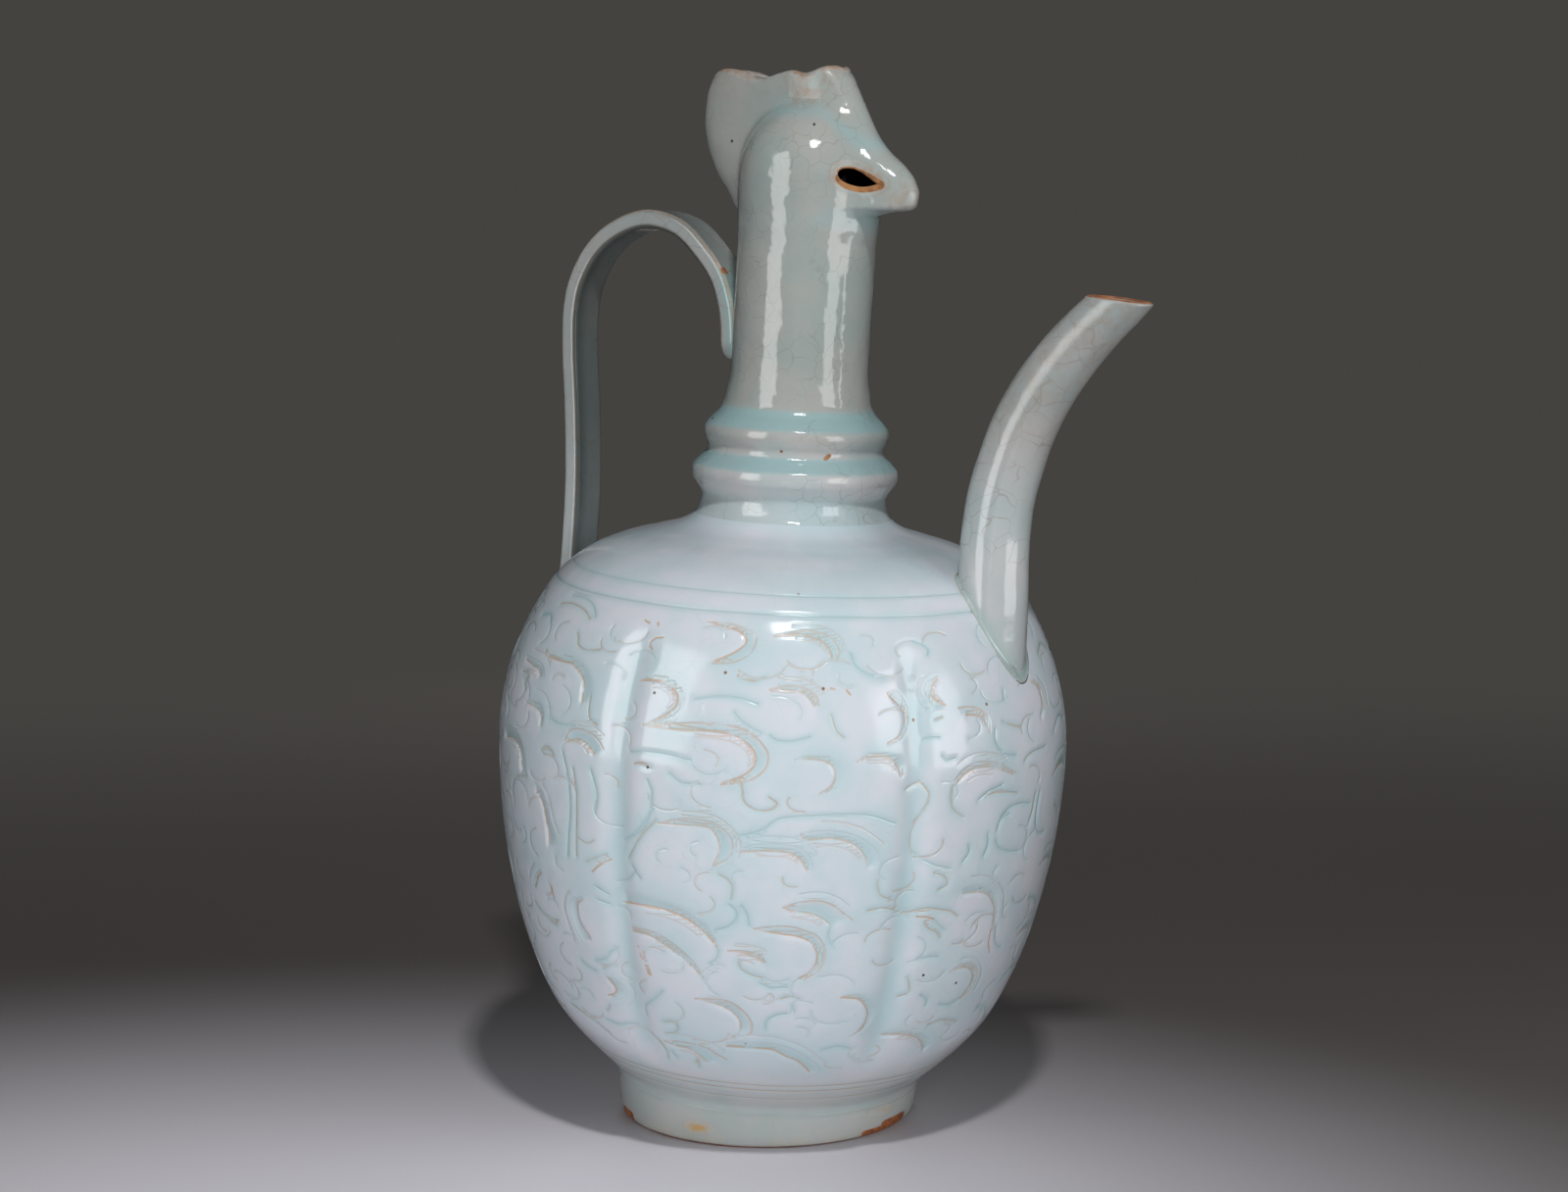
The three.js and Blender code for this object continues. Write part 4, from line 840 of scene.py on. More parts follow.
radii, heights = innerRings(thrown["belly"], thrown["floorCurve"])
bowl("lowerBody", "lower_body", slice(0, seamRow + 1),
     ringPoints(thrown["undersideRadii"], [thrown["underside"]] * 2),
     ringPoints(np.r_[radii, thrown["floorRadii"]], np.r_[heights, [thrown["floor"]] * 2]),
     [(0, 0, thrown["underside"]), (0, 0, thrown["floor"])])
radii, heights = innerRings(thrown["vault"], thrown["belly"], thrown["over"])
bowl("upperBody", "upper_body", slice(seamRow, None), ringPoints([], []),
     ringPoints(np.r_[[thrown["bore"]] * 2, radii], np.r_[thrown["shoulder"], thrown["throat"], heights]),
     np.zeros((0, 3)))


# Foot ring: a short lathe-turned ring, trimmed level where it stands although the pot leans

foot = {
    "profile": [(55.0, 14.5), (54.4, 12.7), (54.15, 10), (53.8, 6), (53.2, 2.4), (52.6, 0.9), (51.4, 0.1),
                (50.4, 0), (47.2, 0), (46.2, 0.3), (45.5, 1.2), (45.5, 7), (45.5, 14.4)],
    "steps": 30, "rows": 60, "columns": 360, "top": 14.5, "radius": 53,
    # heights: bare clay at the stand, a faint stain, glaze pooled at the top
    "bare": (0.3, 1.0), "stain": (1, 6, 0.25), "pool": (9, 14.5), "pooled": 0.25,
    # chips: how they fade round, how far up, how bare they are; turn, width in degrees, height
    "chipFade": (0.4, 1.2, 0.9), "chipRise": 1.6,
    "chips": ((1, 11, 4.8), (-12, 7, 2.6), (-126, 8, 3.0), (70, 9, 1.6), (150, 8, 2.4)),
    # stains: turn, height, width, tallness, strength
    "stains": ((-82.5, 6.4, 4.0, 1.6, 2.7), (-9, 11.0, 7.0, 2.6, 0.7)),
}
footTurns = circle(foot["columns"])
footPath = evenly(curveThrough(foot["profile"], foot["steps"]), foot["rows"])[::-1]
grid = ringPoints(*footPath.T, footTurns)
z = grid[..., 2].copy()
bare, stained = fading(z, *foot["bare"]), fading(z, *foot["stain"])
for turn, wide, high in foot["chips"]:
    away = np.abs(wrapped(np.degrees(footTurns) - turn)) / wide
    bare = np.maximum(bare, fading(away, *foot["chipFade"]) * fading(z, high, high + foot["chipRise"]))
for turn, height, wide, high, share in foot["stains"]:
    across = np.radians(wrapped(np.degrees(footTurns) - turn)) * foot["radius"]
    stained = np.maximum(stained, bell(across, wide, share) * bell(z - height, high))
grid[..., 2] += grid[..., 0] * math.tan(pot["lean"]) * (1 - z / foot["top"])
piece("footRing", "foot_ring", "foot_glaze", grid,
      {"bare": bare, "thin": stained, "pool": foot["pooled"] * smooth(grid[..., 2], *foot["pool"])})


# Collar and neck carry the body's outline on to the head

neckPart = {
    "columns": 300, "collarRows": 90, "neckRows": 60, "top": 312.0, "collarTop": 260.0, "base": 217.0,
    # heights where a pool starts, is full, begins to end and ends; its share
    "pools": ((233.6, 235.2, 238.6, 240.4, 1.0), (247.8, 249.6, 254.2, 256.4, 1.0),
              (213.5, 217.5, 223.5, 229.0, 0.5)),
    "thins": ((231.6, 1.0, 0.12), (246.2, 1.0, 0.15)),  # height, width, share
    "speck": (-131.0, 250.5), "speckRadius": 32, "spotRadius": 31,
    "spots": ((-66, 241.8, 0.7), (-35.4, 240.9, 1.1), (-38, 239.8, 0.8)),  # turn, height, size
    "spotStretch": 1.3, "spotBare": 0.75,
}
neckTurns = circle(neckPart["columns"])


def sleeve(name, node, low, high, rows, leanNeck):
    # a length of the thrown outline as a closed sleeve with a plain bore, and normals shared with
    # its neighbours
    at = np.interp(np.linspace(*lengthAt([low, high]), rows), outlineLength, outline[:, 1])
    reach = np.r_[low - (high - low) / rows, at, high + (high - low) / rows]
    normals = normalsOf(ringPoints(radiusAt(reach), reach, neckTurns), leanNeck)[1:-1]
    normals[1:-1] = 0
    bore = ringPoints([thrown["bore"]] * 3, np.linspace(high, low, 3), neckTurns)
    grid = np.concatenate([ringPoints(radiusAt(at), at, neckTurns), bore])
    z = grid[..., 2]

    def across(turn, radius):
        return np.radians(wrapped(np.degrees(neckTurns) - turn)) * radius + 0 * z

    turn, height = neckPart["speck"]
    spotted = sum(bell(across(turn, neckPart["spotRadius"]), neckPart["spotStretch"] * wide)
                  * bell(z - height, wide) for turn, height, wide in neckPart["spots"])
    piece(name, node, "neck_glaze", grid, {
        "pool": sum(hill(z, *spot) for spot in neckPart["pools"]),
        "thin": sum(bell(z - height, *spot) for height, *spot in neckPart["thins"]),
        "speck": np.stack([across(turn, -neckPart["speckRadius"]), height - z, 0 * z + 1], -1),
        "bare": neckPart["spotBare"] * spotted},
          leanNeck=leanNeck, normals=np.concatenate([normals, 0 * bore]))


sleeve("collar", "neck_collar", neckPart["base"], neckPart["collarTop"], neckPart["collarRows"], False)
sleeve("neckTube", "neck", neckPart["collarTop"], neckPart["top"], neckPart["neckRows"], True)


# Head and crest: the skull carries on from the neck, and a long oval through it, blunt behind and
# pointed in front, makes the beak below and the crest above

bird = {
    "height": 61.6, "neckRadius": 24.3, "skullRadius": 25.2, "skullShoulder": 24.0, "skullTop": 50.0,
    "beakReach": 43.5, "beakHalfWidth": 12.0, "beakTop": 34.0, "beakTip": (43, 15), "softness": 3.2,
    # share of the height and of the reach, of the oval's front and back
    "front": [(0, 0.5), (0.155, 0.54), (0.19, 0.68), (0.205, 0.79), (0.221, 0.95), (0.247, 0.988), (0.304, 1),
              (0.372, 0.965), (0.456, 0.86), (0.539, 0.7), (0.623, 0.582), (0.709, 0.51), (0.795, 0.446),
              (0.88, 0.375), (0.95, 0.31), (1, 0.225)],
    "back": [(0, 0.5), (0.114, 0.53), (0.203, 0.66), (0.291, 0.74), (0.378, 0.84), (0.468, 0.913),
             (0.557, 0.967), (0.7, 1), (0.825, 0.99), (0.916, 0.945), (1, 0.87)],
    "wall": 3.6, "crestReach": 46.0, "crestHalfWidth": 9.5, "crestWall": 3.4, "lip": 1.7, "lipSteps": 12,
    "wave": 4.4,
    # share of the half turn from the beak, and of the wave by which the rim hangs down there
    "rim": [(0, 0.16), (0.05, 0.08), (0.1, 0.0), (0.18, 0.03), (0.28, 0.2), (0.38, 0.5), (0.48, 0.64),
            (0.57, 0.55), (0.67, 0.44), (0.78, 0.66), (0.885, 1.08), (0.92, 0.8), (0.945, 0.42), (0.965, 0.3),
            (0.985, 0.6), (1, 1.3)],
    # the crease between head and crest: heights at the beak, temples and nape; where it climbs and
    # falls, as shares of the half turn
    "frontRise": 35.0, "sideRise": 46.0, "backRise": 7.0, "templeTurns": (0.05, 0.3),
    "napeTurns": (0.72, 0.97), "blendHeight": 6.0,
    "skullSpeck": (-57, 41.0), "crestSpeck": (-166, 35.0), "speckReach": 4,
    "columns": 480, "crowd": 0.3, "headRows": 90, "crestRows": 90,
    # thin glaze on the beak's tip, the rim, in a side band and a faint one below the rim: distances, share
    "tipThin": (3, 11, 0.6), "rimThin": (0.2, 1.8, 1.0), "bandThin": (6, 18, 0.6), "faintThin": (4, 14, 0.1),
    "bandAt": (0.4, 0.24),  # the side band's middle and width, as shares of the half turn
    # width and share of the pools below and above the crease, and under the beak at this height
    "skullPool": (3.0, 0.55), "crestPool": (3.5, 0.6), "beakPool": (4.0, 0.5), "beakPoolAt": 9,
    "hollow": (3, 14),  # depths over which its inside darkens
}
# Eye: a slit in the grid, opened to a drop with its round end behind and its point to the beak
eye = {
    "forward": 26.8, "rise": 23.2, "halfLength": 6.3, "halfHeight": 3.0, "tilt": 13.0, "wall": 1.0,
    "row": 46, "reach": 9.0, "ledWidth": 11, "thinWidth": 7, "least": 0.02, "sides": 1.2, "rounds": 4,
    "fullest": 1.0887,  # the most that the drop's formula gives
    "lipRows": 7, "lipSwell": 0.25, "ledNear": (1.0, 2.6), "ledRows": (0, 0.2, 0.75, 1),
    "heights": (8, 36), "front": 12,  # where its clay is looked for
    "bareWidth": 1.25, "bareFade": (0.5, 1.3), "lower": 0.6, "lowerOver": 3, "thin": (1.0, 4.5, 0.8),
}


def softMax(a, b, soft):
    # the larger of two, rounded off where they cross: half of a + b + the length of (a - b, soft)
    return (a + b + np.hypot(a - b, soft)) / 2


def birdRadius(turn, height, wall=0.0):
    # an oval's radius is 1 over the length of (cos / reach, sin / half width); the skull closes as
    # a quarter of an ellipse
    share, below = height / bird["height"], np.maximum(height - wall, 0) / bird["height"]
    front, back = (bird[reach] * np.minimum(smoothTable(share, bird[end]), smoothTable(below, bird[end]))
                   for reach, end in (("beakReach", "front"), ("crestReach", "back")))
    climbed = (height - bird["skullShoulder"]) / (bird["skullTop"] - bird["skullShoulder"] - wall)
    skull = mix(bird["neckRadius"], bird["skullRadius"], smooth(height, 0, bird["skullShoulder"])) - wall
    forward = np.cos(turn)
    wider = (bird["beakHalfWidth"] - bird["crestHalfWidth"]) * np.maximum(forward, 0)
    wider = fading(height, bird["beakTop"], bird["skullTop"], wider)
    oval = 1 / np.hypot(forward / (np.where(forward > 0, front, back) - wall),
                        np.sin(turn) / (bird["crestHalfWidth"] + wider - wall))
    both = softMax(skull * np.sqrt(1 - np.clip(climbed, 0, 1) ** 2), oval, bird["softness"])
    return mix(bird["neckRadius"] - wall, both, smooth(height, 0, bird["blendHeight"]))


def creaseRise(turn):
    # height of the joint between head and crest: high over the temples, low at the nape
    share = np.abs(turn) / np.pi
    front = mix(bird["frontRise"], bird["sideRise"], smooth(share, *bird["templeTurns"]))
    return mix(front, bird["backRise"], smooth(share, *bird["napeTurns"]))


def rimRise(turn):
    return bird["height"] - bird["wave"] * smoothTable(np.abs(turn) / np.pi, bird["rim"])


def birdPoints(turn, height, wall=0.0):
    r = birdRadius(turn, height, wall)
    return np.stack([r * np.cos(turn), r * np.sin(turn), neckPart["top"] + height], -1)


# columns crowd together at the beak and the nape
wheel = circle(bird["columns"])
birdTurns = (wheel - bird["crowd"] * np.sin(2 * wheel) + np.pi) % (2 * np.pi) - np.pi
crease, lipTop = creaseRise(birdTurns), rimRise(birdTurns)
row = eye["row"]


def headGrid():
    # heights of the head's grid, with the rows near the eye led along its axis, the two sides of
    # the slit opened by the drop's half height, and everything fading back over a few mm
    share = np.linspace(0, 1, bird["headRows"])[:, None]
    heights = share * crease
    slit = axis = heights[row]
    for _ in range(eye["rounds"]):
        forward = birdRadius(birdTurns, axis) * np.cos(birdTurns) - eye["forward"]
        axis = eye["rise"] - math.tan(math.radians(eye["tilt"])) * forward
    t, atSide = forward / eye["halfLength"], np.abs(birdTurns) < eye["sides"]
    near, held = fading(np.abs(t), *eye["ledNear"]), hill(share, *eye["ledRows"])
    led = heights + (axis - slit) * near * bell(heights - slit, eye["ledWidth"]) * held
    t = np.clip(t, -1, 1)
    opening = eye["halfHeight"] * np.sqrt(1 + t) * (1 - t) / eye["fullest"] * atSide
    away = led - led[row]
    push = opening * np.exp(-np.abs(away) / eye["reach"]) * held
    thinner = near * bell(away, eye["thinWidth"]) * atSide
    return led + push, led - push, np.flatnonzero(opening > eye["least"]), thinner


upHeights, downHeights, opened, thinner = headGrid()
table = gridNumbers(*upHeights.shape)
heights = np.where(np.arange(bird["headRows"])[:, None] < row, downHeights, upHeights)
# the slit's lower edge has points of its own
tableBelow = table[:row + 1].copy()
tableBelow[row, opened] = table.size + np.arange(len(opened))


def headShell(wall):
    wall = np.broadcast_to(wall, heights.shape)
    lower = birdPoints(birdTurns[opened], downHeights[row, opened], wall[row, opened])
    return np.concatenate([birdPoints(birdTurns, heights, wall).reshape(-1, 3), lower])


points = [headShell(0), headShell(mix(bird["wall"], eye["wall"], thinner))]
outer, inner = points
count = len(outer)
halves = [gridFaces(tableBelow), gridFaces(table[row:])]
faces = [*halves, *(f[:, ::-1] + count for f in halves),
         strip(table[0] + count, table[0]), strip(table[-1], table[-1] + count)]
for side in (1, -1):
    # lip of one eye: rings from the outer edge of the opening to the inner one, swelling into it
    run = opened[np.sign(birdTurns[opened]) == side]
    run = run[np.argsort(np.abs(birdTurns[run]))]
    around = np.r_[run[0] - side, run, run[-1] + side] % bird["columns"]
    loop = np.r_[table[row, around], tableBelow[row, run[::-1]]]
    s = (np.arange(1, eye["lipRows"]) / eye["lipRows"])[:, None, None]
    towards = unit(outer[loop].mean(0) - outer[loop]) * eye["lipSwell"]
    lip = mix(outer[loop], inner[loop], s) + towards * np.sin(np.pi * s)
    numbers = np.concatenate([[loop], gridNumbers(*lip.shape) + sum(map(len, points)), [loop + count]])
    faces.append(strip(*(numbers[1:], numbers[:-1])[::side]))
    points.append(lip.reshape(-1, 3))
points = np.concatenate(points)

# orange clay round the eyes: distance to the opening's edge, wider below than above
rise = points[:, 2] - neckPart["top"]
low, high = eye["heights"]
near = np.flatnonzero((rise > low) & (rise < high) & (points[:, 0] > eye["front"])
                      & (np.arange(len(points)) < count))
slit = outer[np.r_[table[row, opened], tableBelow[row, opened]]]
gap = np.linalg.norm(points[near][:, None] - slit, axis=2).min(1)
bare, thin, pooled, given = (np.zeros((len(points), *size)) for size in ((), (), (), (3,)))
lowness = np.clip((eye["rise"] - rise[near]) / eye["lowerOver"], -1, 1)
bare[near] = fading(gap / (1 + eye["lower"] * lowness) / eye["bareWidth"], *eye["bareFade"])
bare[2 * count:] = 1
thin[near] = fading(gap, *eye["thin"])
fromTip = reachOf(np.stack([points[:, 0], rise], -1) - bird["beakTip"])
thin = np.maximum(thin, fading(fromTip, *bird["tipThin"]))

# normals shared with the neck below and the crest above
below = ringPoints([bird["neckRadius"]] * 2, [neckPart["top"] - 1, neckPart["top"]], birdTurns)
below = np.concatenate([below, birdPoints(birdTurns, heights[1:2])])
above = birdPoints(birdTurns, np.stack([heights[-2], crease, crease + (lipTop - crease) / bird["crestRows"]]))
given[table[0]], given[table[-1]] = normalsOf(below, True)[1], normalsOf(above, True)[1]
# glaze pools along the crease and under the beak
underBeak = bell(heights - bird["beakPoolAt"], *bird["beakPool"]) * np.maximum(np.cos(birdTurns), 0)
pooled[table] = np.maximum(bell(heights - crease, *bird["skullPool"]), underBeak)
# painted shade: the inside is coloured as dark as the darkest iron, and an iron speck lies on the skull
dark = np.zeros((len(points), 3))
dark[:, 0] = carving["none"]
dark[count:2 * count] = 0, 0, 1
turn, height = bird["skullSpeck"]
across = np.radians(wrapped(np.degrees(birdTurns) - turn)) * -bird["skullRadius"]
toSpeck = np.stack(np.broadcast_arrays(across, height - heights, 1), -1)
close = reachOf(toSpeck) < bird["speckReach"]
dark[table[close]] = toSpeck[close]
piece("headShell", "head", "neck_glaze", points, {"bare": bare, "thin": thin, "pool": pooled, "speck": dark},
      faces, leanNeck=True, normals=given)

# crest: outside up to a rounded lip, then down the inside
risen = mix(crease, lipTop - bird["lip"], np.linspace(0, 1, bird["crestRows"])[:, None])
outside, inside = birdPoints(birdTurns, risen), birdPoints(birdTurns, risen[::-1], bird["crestWall"])
lip = roundedLip(outside[-1], inside[0], np.array([0, 0, bird["lip"]]), bird["lipSteps"])
grid = np.concatenate([outside, lip, inside])
normals = np.zeros(grid.shape)
normals[0] = given[table[-1]]
rise = grid[..., 2] - neckPart["top"]
fromRim, share = lipTop - rise, np.abs(birdTurns) / np.pi
middle, width = bird["bandAt"]
bands = (fading(fromRim, *bird["bandThin"]) * bell(share - middle, width)
         + fading(fromRim, *bird["faintThin"]))
# painted shade: the hollow darkens with its depth, in the speck colour without a speck's distance
dark = np.zeros(grid.shape)
dark[-len(inside):, :, 2] = smooth(fromRim[-len(inside):], *bird["hollow"])
dark[..., 0] = carving["none"] * (dark[..., 2] == 0)
turn, height = bird["crestSpeck"]
toSpeck = birdPoints(math.radians(turn), height) - outside
close = np.linalg.norm(toSpeck, axis=-1) < bird["speckReach"]
dark[:len(outside)][close] = np.insert(toSpeck[close][:, [0, 2]], 2, 1, -1)
piece("crestWall", "crest", "neck_glaze", grid,
      {"thin": np.clip(fading(fromRim, *bird["rimThin"]) + bands, 0, 1),
       "pool": bell(rise - crease, *bird["crestPool"]), "speck": dark}, leanNeck=True, normals=normals)


# Spout and handle: sections carried along a path in the plane of beak and spout

sweeps = {"curveSteps": 60, "pathSteps": 900, "halvings": 36}


def sweepAlong(points):
    # a path and its unit tangents, evenly by the share of its length
    path = evenly(curveThrough(points, sweeps["curveSteps"]), sweeps["pathSteps"])
    return np.concatenate([path, unit(np.gradient(path, axis=0))], 1)


def onSweep(sweep, along, across, outward):
    # centre of the path, plus across along Y, plus outward square to the path in its own plane
    x, z, tx, tz = (np.interp(along, np.linspace(0, 1, len(sweep)), part) for part in sweep.T)
    return np.stack([x - tz * outward, across + 0 * x, z + tx * outward], -1)


def between(start, end, count):
    return mix(start, end, np.linspace(0, 1, count)[:, None])


def findAlong(place, test, low, high):
    # halve the stretch again and again to find where the test turns positive
    low, high = (np.full(place(0.5).shape[:-1], end) for end in (low, high))
    for _ in range(sweeps["halvings"]):
        mid = (low + high) / 2
        past = test(place(mid)) > 0
        low, high = np.where(past, low, mid), np.where(past, mid, high)
    return (low + high) / 2


spout = {
    "axis": 82.5, "rootHeight": 193.1, "reach": 42.5, "rise": 106.5, "rootRadius": 12.4, "mouthRadius": 7.5,
    # shares of the reach and of the rise
    "path": [(0, -0.315), (0, 0), (-0.007, 0.23), (0.028, 0.362), (0.094, 0.465), (0.176, 0.565),
             (0.336, 0.693), (0.565, 0.822), (0.812, 0.93), (1, 1), (1.24, 1.1)],
    "wall": 3.0, "lip": 1.1, "lipSteps": 10, "mouthTilt": math.radians(4), "columns": 144, "rows": 210,
    "boreRows": 50, "fillet": 1.3, "searchRoot": (0.0, 0.4), "searchMouth": (0.6, 1.0),
    # shares of the path's length: the tube starts before the root, ends before the lip; the bore too
    "sunk": 0.006, "short": 0.008, "boreSunk": 0.02,
    # the bore narrows by a share evenly along the path, and by the rest at this power of it
    "taper": (0.35, 4),
    "bare": (-0.1, 1.0), "thinLip": (0.3, 2, 0.6), "thinUp": (235, 280), "thinUpShare": 0.3,
    "rootPool": (1, 10, 0.5), "bendPool": (14, 0.3), "bend": 225,
}
spoutTurns = circle(spout["columns"])
spoutSweep = sweepAlong([(spout["axis"] + spout["reach"] * a, spout["rootHeight"] + spout["rise"] * b)
                         for a, b in spout["path"]])
mouthMiddle = np.array([spout["axis"] + spout["reach"], 0, spout["rootHeight"] + spout["rise"]])
mouthUp = np.array([math.sin(spout["mouthTilt"]), 0, math.cos(spout["mouthTilt"])])


def onSpout(along, grow=0.0):
    share, power = spout["taper"]
    taper = share * along + (1 - share) * along ** power
    r = mix(spout["rootRadius"], spout["mouthRadius"], taper) + grow
    return onSweep(spoutSweep, along + 0 * spoutTurns, r * np.cos(spoutTurns), r * np.sin(spoutTurns))


def pastMouth(points):
    return (points - mouthMiddle) @ mouthUp


root = findAlong(onSpout, outsideBody, *spout["searchRoot"])
mouth, boreMouth = (findAlong(partial(onSpout, grow=grow), pastMouth, *spout["searchMouth"])
                    for grow in (0, -spout["wall"]))
outer = onSpout(between(root - spout["sunk"], mouth - spout["short"], spout["rows"]))
bore = onSpout(between(boreMouth - spout["short"], root - spout["boreSunk"], spout["boreRows"]),
               -spout["wall"])
lip = roundedLip(outer[-1], bore[0], mouthUp * spout["lip"], spout["lipSteps"])
grid = np.concatenate([outer, lip, bore])
z, fromMouth = grid[..., 2], -pastMouth(grid)
pooled = fading(z - outer[0][:, 2], *spout["rootPool"]) + bell(z - spout["bend"], *spout["bendPool"])
piece("spoutTube", "spout", "fitting_glaze", grid, {
    "bare": fading(fromMouth, *spout["bare"]), "pool": np.clip(pooled, 0, 1),
    "thin": np.maximum(fading(fromMouth, *spout["thinLip"]),
                       spout["thinUpShare"] * smooth(z, *spout["thinUp"]))})


bead = {"rows": 10, "step": 0.02, "spread": 0.9, "search": (0.0, 0.4), "behind": 0.25, "pool": (0.85, 0.7),
        "tone": 0.9}


def fillet(name, node, onTube, root, width):
    # slip smoothed into the corner: a curve from the root up the tube, pulled in to the corner,
    # and out to the shoulder, closed behind by the corner itself
    step, (share, power) = bead["step"], bead["pool"]
    speed = np.linalg.norm(onTube(root + step) - onTube(root), axis=-1) / step
    top, corner = onTube(root + width / speed), onTube(root)
    grown = partial(onTube, grow=width * bead["spread"])
    toe = grown(findAlong(grown, outsideBody, *bead["search"]))
    t = np.r_[np.linspace(0, 1, bead["rows"]), 0][:, None]
    u = t[..., None]
    grid = toe * (1 - u) ** 2 + corner * 2 * u * (1 - u) + top * u ** 2
    grid[-1] = corner + (corner - (toe + top) / 2) * bead["behind"]
    # a tan line along the foot of the slip
    fromToe = np.linalg.norm(grid - toe, axis=-1)
    piece(name, node, "fitting_glaze", grid, {
        "pool": share * np.sin(np.pi * t) ** power, "rimTone": bead["tone"],
        "rim": np.stack([fromToe, 0 * fromToe, fromToe], -1)})


fillet("spoutFillet", "spout_slip_bead", onSpout, root, spout["fillet"])

handle = {
    "rootRadius": 96.5, "rootHeight": 166.4, "neckRadius": 26.15, "topHeight": 318.6, "neckHeight": 270.0,
    "width": 15.4, "thickness": 6.9, "rootWidth": 23.0, "corner": 1.9, "rootShare": 0.16, "tongue": 7.0,
    # shares of the way from neck to root, and up to the top or from there down to the neck
    "rising": [(0.87, -0.065), (0.965, -0.01), (1.004, 0.058), (0.989, 0.116), (0.976, 0.212), (0.969, 0.366),
               (0.989, 0.54), (1.016, 0.675), (1.019, 0.771), (0.991, 0.837), (0.899, 0.914), (0.766, 0.966),
               (0.557, 1)],
    "falling": [(0.343, 0.053), (0.193, 0.218), (0.093, 0.383), (0.036, 0.568), (0.009, 0.753), (0, 1)],
    "columns": 96, "cornerSteps": 9, "rows": 330, "dish": 0.5, "fillet": 1.8, "search": (0.0, 0.3),
    "start": 0.004, "core": 0.6, "least": 0.02, "flat": 4,
    "onNeck": (262, 312), "reach": -40, "sunk": 0.15,
    # distances from the strap's end, and places on its section, where the glaze is marked
    "edges": (3, 12), "edgeThin": 0.15, "nearEdge": 1.1, "lineFrom": 3, "lineTone": 0.95,
    "contactAt": 31, "contact": (1.5, 0.9), "contactEdge": (-4, 2.9),
    # the last six entries set where painted shade darkens the inner face and the top by the neck
    "pool": (26, 36, 0.9), "poolOut": (-0.5, 1.5), "film": 0.1, "shadeIn": (1.5, 2.8), "shadeFrom": (10, 30),
    "shaded": (0.88, 0.68), "shadeOut": (1.0, 2.6), "shadeAt": 52, "shadeTop": (20, 0.4),
}
handleSweep = sweepAlong([
    (-mix(handle["neckRadius"], handle["rootRadius"], a), mix(handle[start], handle[end], b))
    for part, start, end in (("rising", "rootHeight", "topHeight"), ("falling", "topHeight", "neckHeight"))
    for a, b in handle[part]])
halfWidth, halfThick, corner = handle["width"] / 2, handle["thickness"] / 2, handle["corner"]
quarter = np.linspace(0, np.pi / 2, handle["cornerSteps"])
bend = np.stack([np.cos(quarter), np.sin(quarter)], 1) * corner + (halfWidth - corner, halfThick - corner)
section = np.concatenate([bend, (bend * (-1, 1))[::-1], bend * (-1, -1), (bend * (1, -1))[::-1], bend[:1]])
section = evenly(section, handle["columns"] + 1)[:-1]
across, out = section.T


def onHandle(along, grow=0.0):
    # rounded strap, spread at the root by moving its two sides apart, faintly dished outside
    spread = fading(along, 0, handle["rootShare"], (handle["rootWidth"] - handle["width"]) / 2) + grow
    dish = handle["dish"] * (1 - (across / halfWidth) ** 2) * (out > 0)
    aside = np.sign(across) * spread * np.minimum(np.abs(across) / handle["flat"], 1)
    return onSweep(handleSweep, along + 0 * across, across + aside, out - dish + np.sign(out) * grow)


root = findAlong(onHandle, outsideBody, *handle["search"])
along = between(root - handle["start"], 1.0, handle["rows"])
fromEnd = (1 - along) * np.linalg.norm(np.diff(handleSweep[:, :2], axis=0), axis=1).sum()
# tongue: the last few mm are drawn in as a quarter circle
drawn = np.sqrt(np.clip(1 - (1 - np.clip(fromEnd / handle["tongue"], 0, 1)) ** 2, 0, 1))
centre = onSweep(handleSweep, along, 0.0, -halfThick * handle["core"])
grid = centre + (onHandle(along) - centre) * np.maximum(drawn, handle["least"])[..., None]
# the strap lies on the neck: points inside the neck are moved out to just under its skin
z = grid[..., 2]
leant = np.stack([np.maximum(neckShift(z), 0), 0 * z], -1)
offAxis = grid[..., :2] - leant
reach, (low, high) = reachOf(offAxis), handle["onNeck"]
push = np.where((z > low) & (z < high) & (offAxis[..., 0] > handle["reach"]),
                np.maximum(radiusAt(z) - handle["sunk"], reach) / np.maximum(reach, 1e-6), 1)
grid[..., :2] = offAxis * push[..., None] + leant
# thin reddish lines along the four edges: distance round the section to the nearest one
around = np.arange(len(section)) * np.linalg.norm(section[1] - section[0])
edges = around[[np.argmax(section @ way) for way in ((1, 1), (-1, 1), (-1, -1), (1, -1))]]
gaps, whole = edges[:, None] - around, around[-1] + around[1]
gaps -= np.round(gaps / whole) * whole
toLine = gaps[np.abs(gaps).argmin(0), np.arange(len(around))]
atEdge = (np.abs(section) > np.array([halfWidth, halfThick]) - corner * handle["nearEdge"]).all(1)
atContact = (across < handle["contactEdge"][0]) & (out > handle["contactEdge"][1])
